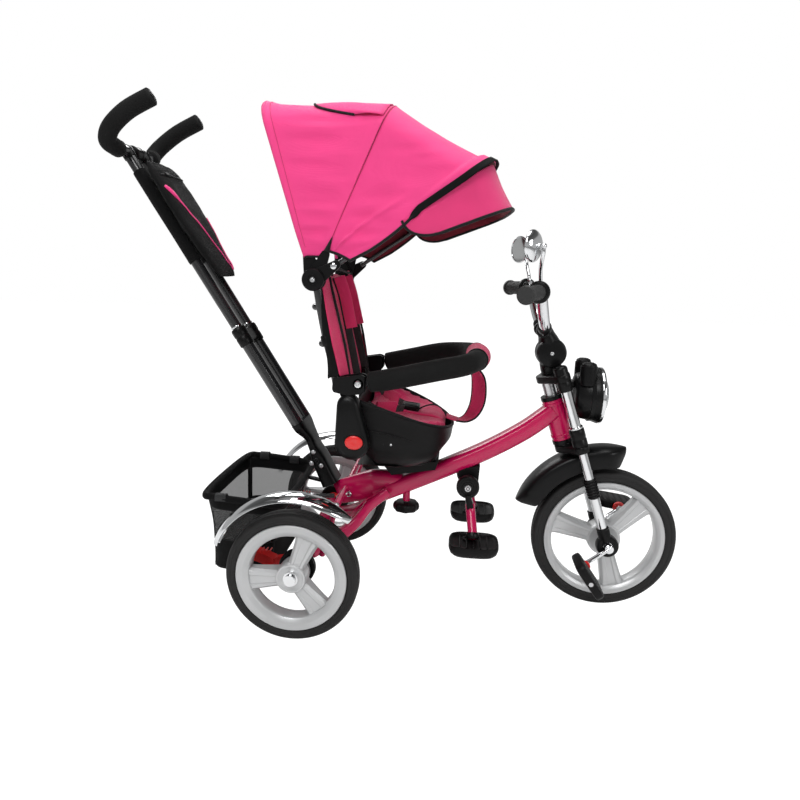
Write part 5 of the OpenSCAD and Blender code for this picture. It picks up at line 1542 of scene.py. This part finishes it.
def fabric(name, grid, lift, body, outer, inner, thick=2.0):
    """A lined sheet: lift is how far each point stands off the grid; the lining shows inside."""
    g = grid + grid_normals(grid) * lift[..., None]
    rows, cols = g.shape[:2]
    obj = mesh_object(name, at(g.reshape(-1, 3)), grid_faces(rows, cols))
    mesh = obj.data
    for mat in (outer, inner, outer):
        mesh.materials.append(mat)
    middle = Vector(grid_normals(grid)[rows // 2, cols // 2])
    if mesh.polygons[(rows // 2) * (cols - 1) + cols // 2].normal.dot(middle) < 0:
        mesh.flip_normals()
    mesh.polygons.foreach_set("use_smooth", [True] * len(mesh.polygons))
    modify(obj, "lining", "SOLIDIFY", thickness=thick / 1000, offset=-1, material_offset=1,
           material_offset_rim=2, use_even_offset=False)
    if body:
        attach(obj, body)
    return obj, g


def cut_size(g):
    """The flat width, length and area of a grid of cloth, in metres."""
    du = np.linalg.norm(np.diff(g, axis=0), axis=2)
    dv = np.linalg.norm(np.diff(g, axis=1), axis=2)
    a, b = g[1:, :-1] - g[:-1, :-1], g[:-1, 1:] - g[:-1, :-1]
    c, d = g[1:, :-1] - g[1:, 1:], g[:-1, 1:] - g[1:, 1:]
    area = 0.5 * (np.linalg.norm(np.cross(a, b), axis=2) + np.linalg.norm(np.cross(c, d), axis=2)).sum()
    return (du.sum(axis=0).max() / 1000, dv.sum(axis=1).max() / 1000), area / 1e6


def wrinkle(p, scale, seed):
    """A soft fold pattern: noise whose scale differs along each axis."""
    v = Vector((p[0] * scale[0], p[1] * scale[1] + seed, p[2] * scale[2]))
    return noise.noise(v) + 0.5 * noise.noise(v * 2.1)


def panel(a1, foot1, a2, foot2, rows, cols, tuck1=0.0, tuck2=0.0):
    """A ruled grid between two bows: stretched cloth runs straight from bow to bow."""
    one, two = hood_line(a1, foot1, n=cols, tuck=tuck1), hood_line(a2, foot2, n=cols, tuck=tuck2)
    ts = np.linspace(0.0, 1.0, rows)
    return np.array([one * (1 - t) + two * t for t in ts]), ts


COLS = 150
side_share = np.abs(np.linspace(-1, 1, COLS))           # 1 at the feet, 0 on the crown
lower = np.clip((side_share - 0.55) / 0.45, 0, 1)       # how far down its side a point is
crown = np.clip((0.42 - side_share) / 0.2, 0, 1)
taut = np.clip((1 - side_share) / 0.12, 0,
               1)           # 0 at the feet, where the cloth lies flat under the bows' feet

TUCK = 8.0                              # the panels' feet pass inside the front bow's feet
rear_grid, ts = panel(REAR_BOW, 43, MID_BOW - 0.2, 45, 70, COLS, TUCK, TUCK)
# The rear hem is turned in round the back of the bow: (behind the bow's line, inset)
tail = np.array((-math.cos(math.radians(REAR_BOW)), 0, math.sin(math.radians(REAR_BOW))))
HEM = ((1.0, 15.0), (6.5, 12.0), (8.5, 6.0), (8.0, 2.0), (5.0, 0.3))
hem_rows = [hood_line(REAR_BOW, 43, inset=d, n=COLS, tuck=TUCK) + tail * back for back, d in HEM]
lift = np.zeros(rear_grid.shape[:2])
for i, t in enumerate(ts):
    span = math.sin(math.pi * t)
    for j in range(COLS):
        p = rear_grid[i, j]
        side = 1 - crown[j]
        fold = wrinkle(p, (0.006, 0.01, 0.045), 3.0) * span * side
        crease = wrinkle(p, (0.010, 0.01, 0.085), 7.0) * span * lower[j]
        sag = -6.5 * crown[j] * min(1.0, t / 0.12) * min(1.0, (1 - t) / 0.2)
        lift[i, j] = sag - 3.0 * span * side * (1 - 0.5 * lower[j]) + fold * (3.4 + 4.6
                * lower[j]) + 3.0 * crease
lift *= taut
rear_grid = np.concatenate([np.array(hem_rows), rear_grid])
lift = np.concatenate([np.zeros((len(HEM), COLS)), lift])
rear_sheet, rear_surface = fabric("hood_rear", rear_grid, lift, None, PINK, LINING)
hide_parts("canopy_rear_fabric")

front_grid, ts = panel(MID_BOW + 0.2, 57, FRONT_BOW - 0.2, 76, 64, COLS, TUCK)
# Low on its sides the front panel reaches past the front bow
for i, t in enumerate(ts):
    for j in range(COLS):
        dx, dz = front_grid[i, j, 0] - HOOD_AT[0], front_grid[i, j, 2] - HOOD_AT[1]
        reach = math.hypot(dx, dz)
        turn = math.radians(6.4 * t * t * float(np.clip((228 - reach) / 112, 0, 1)) ** 0.8)
        front_grid[i, j, 0] = HOOD_AT[0] + dx * math.cos(turn) + dz * math.sin(turn)
        front_grid[i, j, 2] = HOOD_AT[1] - dx * math.sin(turn) + dz * math.cos(turn)
lift = np.zeros(front_grid.shape[:2])
for i, t in enumerate(ts):
    span = math.sin(math.pi * t)
    for j in range(COLS):
        p = front_grid[i, j]
        fold = wrinkle(p, (0.008, 0.01, 0.04), 11.0) * span * (1 - crown[j])
        q = side_share[j]
        diagonal = math.exp(-((t - (0.30 + 1.2 * (0.98 - q))) / 0.045) ** 2) * np.clip((q - 0.60) / 0.1, 0,
                1) * np.clip((1 - q) / 0.05, 0, 1)
        crease = wrinkle((p[0] + 0.5 * p[2], p[1], p[2] - 0.4 * p[0]), (0.012, 0.01, 0.08),
                         17.0) * span * lower[j]
        lift[i, j] = -3.0 * span * (1 - 0.4 * lower[j]) + fold * (3.0 + 4.2
                * lower[j]) + 2.8 * crease + 4.0 * diagonal * span
        if q < 0.62:
            lift[i, j] += min(1.0, (0.62 - q) / 0.2) * (6.5 * min(1.0, max(0.0, (t - 0.86) / 0.04)) - 1.5
                                                        * span)
front_sheet, front_surface = fabric("hood_front", front_grid, lift, None, PINK, LINING)
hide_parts("canopy_front_fabric")

visor_grid, ts = panel(FRONT_BOW + 0.4, 192, VISOR, 192, 24, COLS)
lift = np.zeros(visor_grid.shape[:2])
for i, t in enumerate(ts):
    for j in range(COLS):
        p = visor_grid[i, j]
        lift[i, j] = 1.6 * wrinkle(p, (0.012, 0.012, 0.012),
                                   23.0) * (0.3 + 0.7 * t) - 2.0 * math.sin(math.pi * t)
# Rounds the visor's lower corners by drawing the last points of the free edge up the side
corner = visor_grid.copy()
for i, t in enumerate(ts):
    cut = 0.085 * (1 - math.sqrt(max(0.0, 1 - t ** 2.6)))
    place = np.linspace(cut, 1 - cut, COLS)
    for k in range(3):
        corner[i, :, k] = np.interp(place, np.linspace(0, 1, COLS), visor_grid[i, :, k])
visor_sheet, visor_surface = fabric("hood_visor", corner, lift, "canopy_front", PINK_VISOR, LINING, thick=2.4)
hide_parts("canopy_visor")
for sheet_obj, surface in ((rear_sheet, rear_surface), (front_sheet, front_surface),
                           (visor_sheet, visor_surface)):
    flat, area = cut_size(surface)


def fold_blend(obj, lean1, lean2, reach=92.0, radius=300.0):
    """Bakes a piece's transform into its mesh; the points it works out about the hub from the two lean angles
    go unused.
    """
    mid = math.radians((lean1 + lean2) / 2)
    across = np.array((math.cos(mid), 0, -math.sin(mid)))
    centre = HUB + radius * np.array((math.sin(mid), 0, math.cos(mid)))
    tuple(at(centre - reach * across))
    tuple(at(centre + reach * across))
    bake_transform(obj)


def seam(name, points, r, mat, body, **more):
    return tube(name, points, r, mat, body, sides=8, straight=True, dome=0.6, **more)


def off(surface, i, js, d):
    """Points on a surface's row i, standing d off it."""
    n = grid_normals(surface)
    return [surface[i, j] + n[i, j] * d for j in js]


every = range(0, COLS)
stitch = seam("hood_rear_stitch", off(rear_surface, len(HEM) + 3, range(3, COLS - 3), 0.1), 0.55, PINK_SEAM,
              None)
fold_blend(stitch, REAR_BOW, MID_BOW)
seam("hood_rib_seam", off(front_surface, 0, every, 0.2), 0.75, PINK_SEAM, "canopy_mid")


def band(name, surface, i, js, width, lift, mat, body, thick=1.6, tip=0.0, **more):
    """A flat tape sewn on a surface along its row i; width runs across the row, tip narrows its ends."""
    n = grid_normals(surface)
    rows = []
    js = list(js)
    for c, j in enumerate(js):
        along_row = unit(surface[i, min(j + 1, COLS - 1)] - surface[i, max(j - 1, 0)])
        across = unit(np.cross(along_row, n[i, j]))
        edge = min(c, len(js) - 1 - c)
        w = width * (1 if not tip else min(1.0, 0.1 + edge / tip))
        rows.append([surface[i, j] + n[i, j] * lift + across * w * u for u in (-0.5, -0.25, 0, 0.25, 0.5)])
    return grid_sheet(name, rows, mat, body, solid=thick, **more)


wide = [j for j in every if math.hypot(front_surface[-1, j, 0] - HOOD_AT[0],
                                       front_surface[-1, j, 2] - HOOD_AT[1]) > 196]
band("hood_front_band", front_surface, -1, wide, 12.5, 1.6, BLACK_FABRIC, "canopy_front", tip=3,
     slot="black_fabric")
for side, js in (("left", range(0, wide[0] + 3)), ("right", range(wide[-1] - 2, COLS))):
    seam(f"hood_front_hem_{side}", off(front_surface, -1, js, 0.0), 2.8, PIPING, "canopy_front")
seam("visor_piping", list(off(visor_surface, -1, every, -0.6)), 3.0, PIPING, "canopy_front")
for side, js in (("left", 0), ("right", COLS - 1)):
    n = grid_normals(visor_surface)
    edge = [visor_surface[i, js] - n[i, js] * 0.6 for i in range(len(visor_surface))]
    seam(f"visor_side_piping_{side}", edge, 2.7, PIPING, "canopy_front")
    n = grid_normals(front_surface)
    hem = [front_surface[i, js] - n[i, js] * 0.4 for i in range(len(front_surface))]
    obj = seam(f"hood_side_hem_{side}", hem, 2.6, PIPING, None)
    fold_blend(obj, MID_BOW, FRONT_BOW)
    n = grid_normals(rear_surface)
    hem = [rear_surface[i, js] - n[i, js] * 0.4 for i in range(len(HEM) - 1, len(rear_surface))]
    obj = seam(f"hood_rear_foot_{side}", hem, 2.2, PIPING, None)
    fold_blend(obj, REAR_BOW, MID_BOW)
    tips = [front_surface[0, js + (k if js == 0 else -k)] for k in (0, 1, 3, 5)]
    tube(f"rib_tip_{side}", [p + np.array((0, 1.5 if js == 0 else -1.5, 0)) for p in tips],
         [5.5, 4.5, 2.5, 0.6], PIPING, "canopy_mid", sides=12, steps=3)

# The vent flap on the crown, edged in black
s0 = 0.395
flap_rows = len(rear_surface) - len(HEM)
flap_js = [j for j in range(COLS) if side_share[j] <= s0]
rows = []
n_rear = grid_normals(rear_surface)
for j in flap_js:
    t_edge = 0.95 - 0.57 * (1 - (side_share[j] / s0) ** 14)
    row = []
    for k in range(10):
        t = t_edge + (0.985 - t_edge) * k / 9
        i = len(HEM) + t * (flap_rows - 1)
        i0 = int(min(len(rear_surface) - 2, i))
        f = i - i0
        base = rear_surface[i0, j] * (1 - f) + rear_surface[i0 + 1, j] * f
        row.append(base + n_rear[i0, j] * (2.4 + 5.0 * math.sin(math.pi * k / 9)))
    rows.append(row)
flap = grid_sheet("vent_flap", rows, PINK, None, solid=1.2)
fold_blend(flap, REAR_BOW, MID_BOW)
edge = seam("vent_zip", [np.array(r[0]) for r in rows], 2.2, PIPING, None)
fold_blend(edge, REAR_BOW, MID_BOW)
flat, area = cut_size(np.array(rows))
fold_blend(rear_sheet, REAR_BOW, MID_BOW)
fold_blend(front_sheet, MID_BOW, FRONT_BOW)

# Bows and the hub
for name, a, body, y1, y2, tuck in (("rear", REAR_BOW, "backrest", 148, 153, 7.0),
                                    ("mid", MID_BOW, "canopy_mid", 153.3, 158.7, 5.0),
                                    ("front", FRONT_BOW, "canopy_front", 159, 164.7, 0.0)):
    node = f"canopy_{name}_bow"
    tube(f"bow_{name}", hood_line(a, 46, inset=8.5, n=110, tuck=tuck), 4.5, BLACK_PAINT, body, sides=14,
         straight=True, replace=node, slot="black_paint")
    lean = math.radians(a)
    foot = hull_outline([(HOOD_AT[0], HOOD_AT[1], 20.5 if name == "rear" else 16.5),
                         (HOOD_AT[0] + 50 * math.sin(lean), HOOD_AT[1] + 50 * math.cos(lean), 8)])
    for side, s in SIDES:
        plate(f"bow_foot_{name}_{side}", foot, s * y1, s * y2, SATIN_PLASTIC, body, bevel=1.0,
              slot="black_plastic")
        if name == "front":
            place = (HOOD_AT[0] + 45 * math.sin(lean), s * 164.7, HOOD_AT[1] + 45 * math.cos(lean))
            lathe(f"bow_bolt_{side}", [(0, 3.2), (4, 3), (5.6, 2), (6, 0), (6, -1), (0, -1)], place,
                  (0, s, 0), CHROME, body, segs=24)
for side, s in SIDES:
    lathe(f"hood_hub_{side}", [(0, 165.4), (19, 165.4), (20.5, 166.4), (20.5, 170), (19, 171.8),
                               (14, 172.4), (9, 172.4), (8, 171), (0, 171)], HUB, (0, s, 0), SATIN_PLASTIC,
          "backrest", segs=56, slot="black_plastic")
    screw(f"hood_hub_screw_{side}", HUB + (0, s * 171, 0), (0, s, 0), 5.6, CHROME, "backrest")
    lathe(f"hood_hub_core_{side}", [(0, 137), (12.6, 137), (13, 138), (13, 147.8), (0, 147.8)], HUB,
          (0, s, 0), SATIN_PLASTIC, "backrest", segs=40)
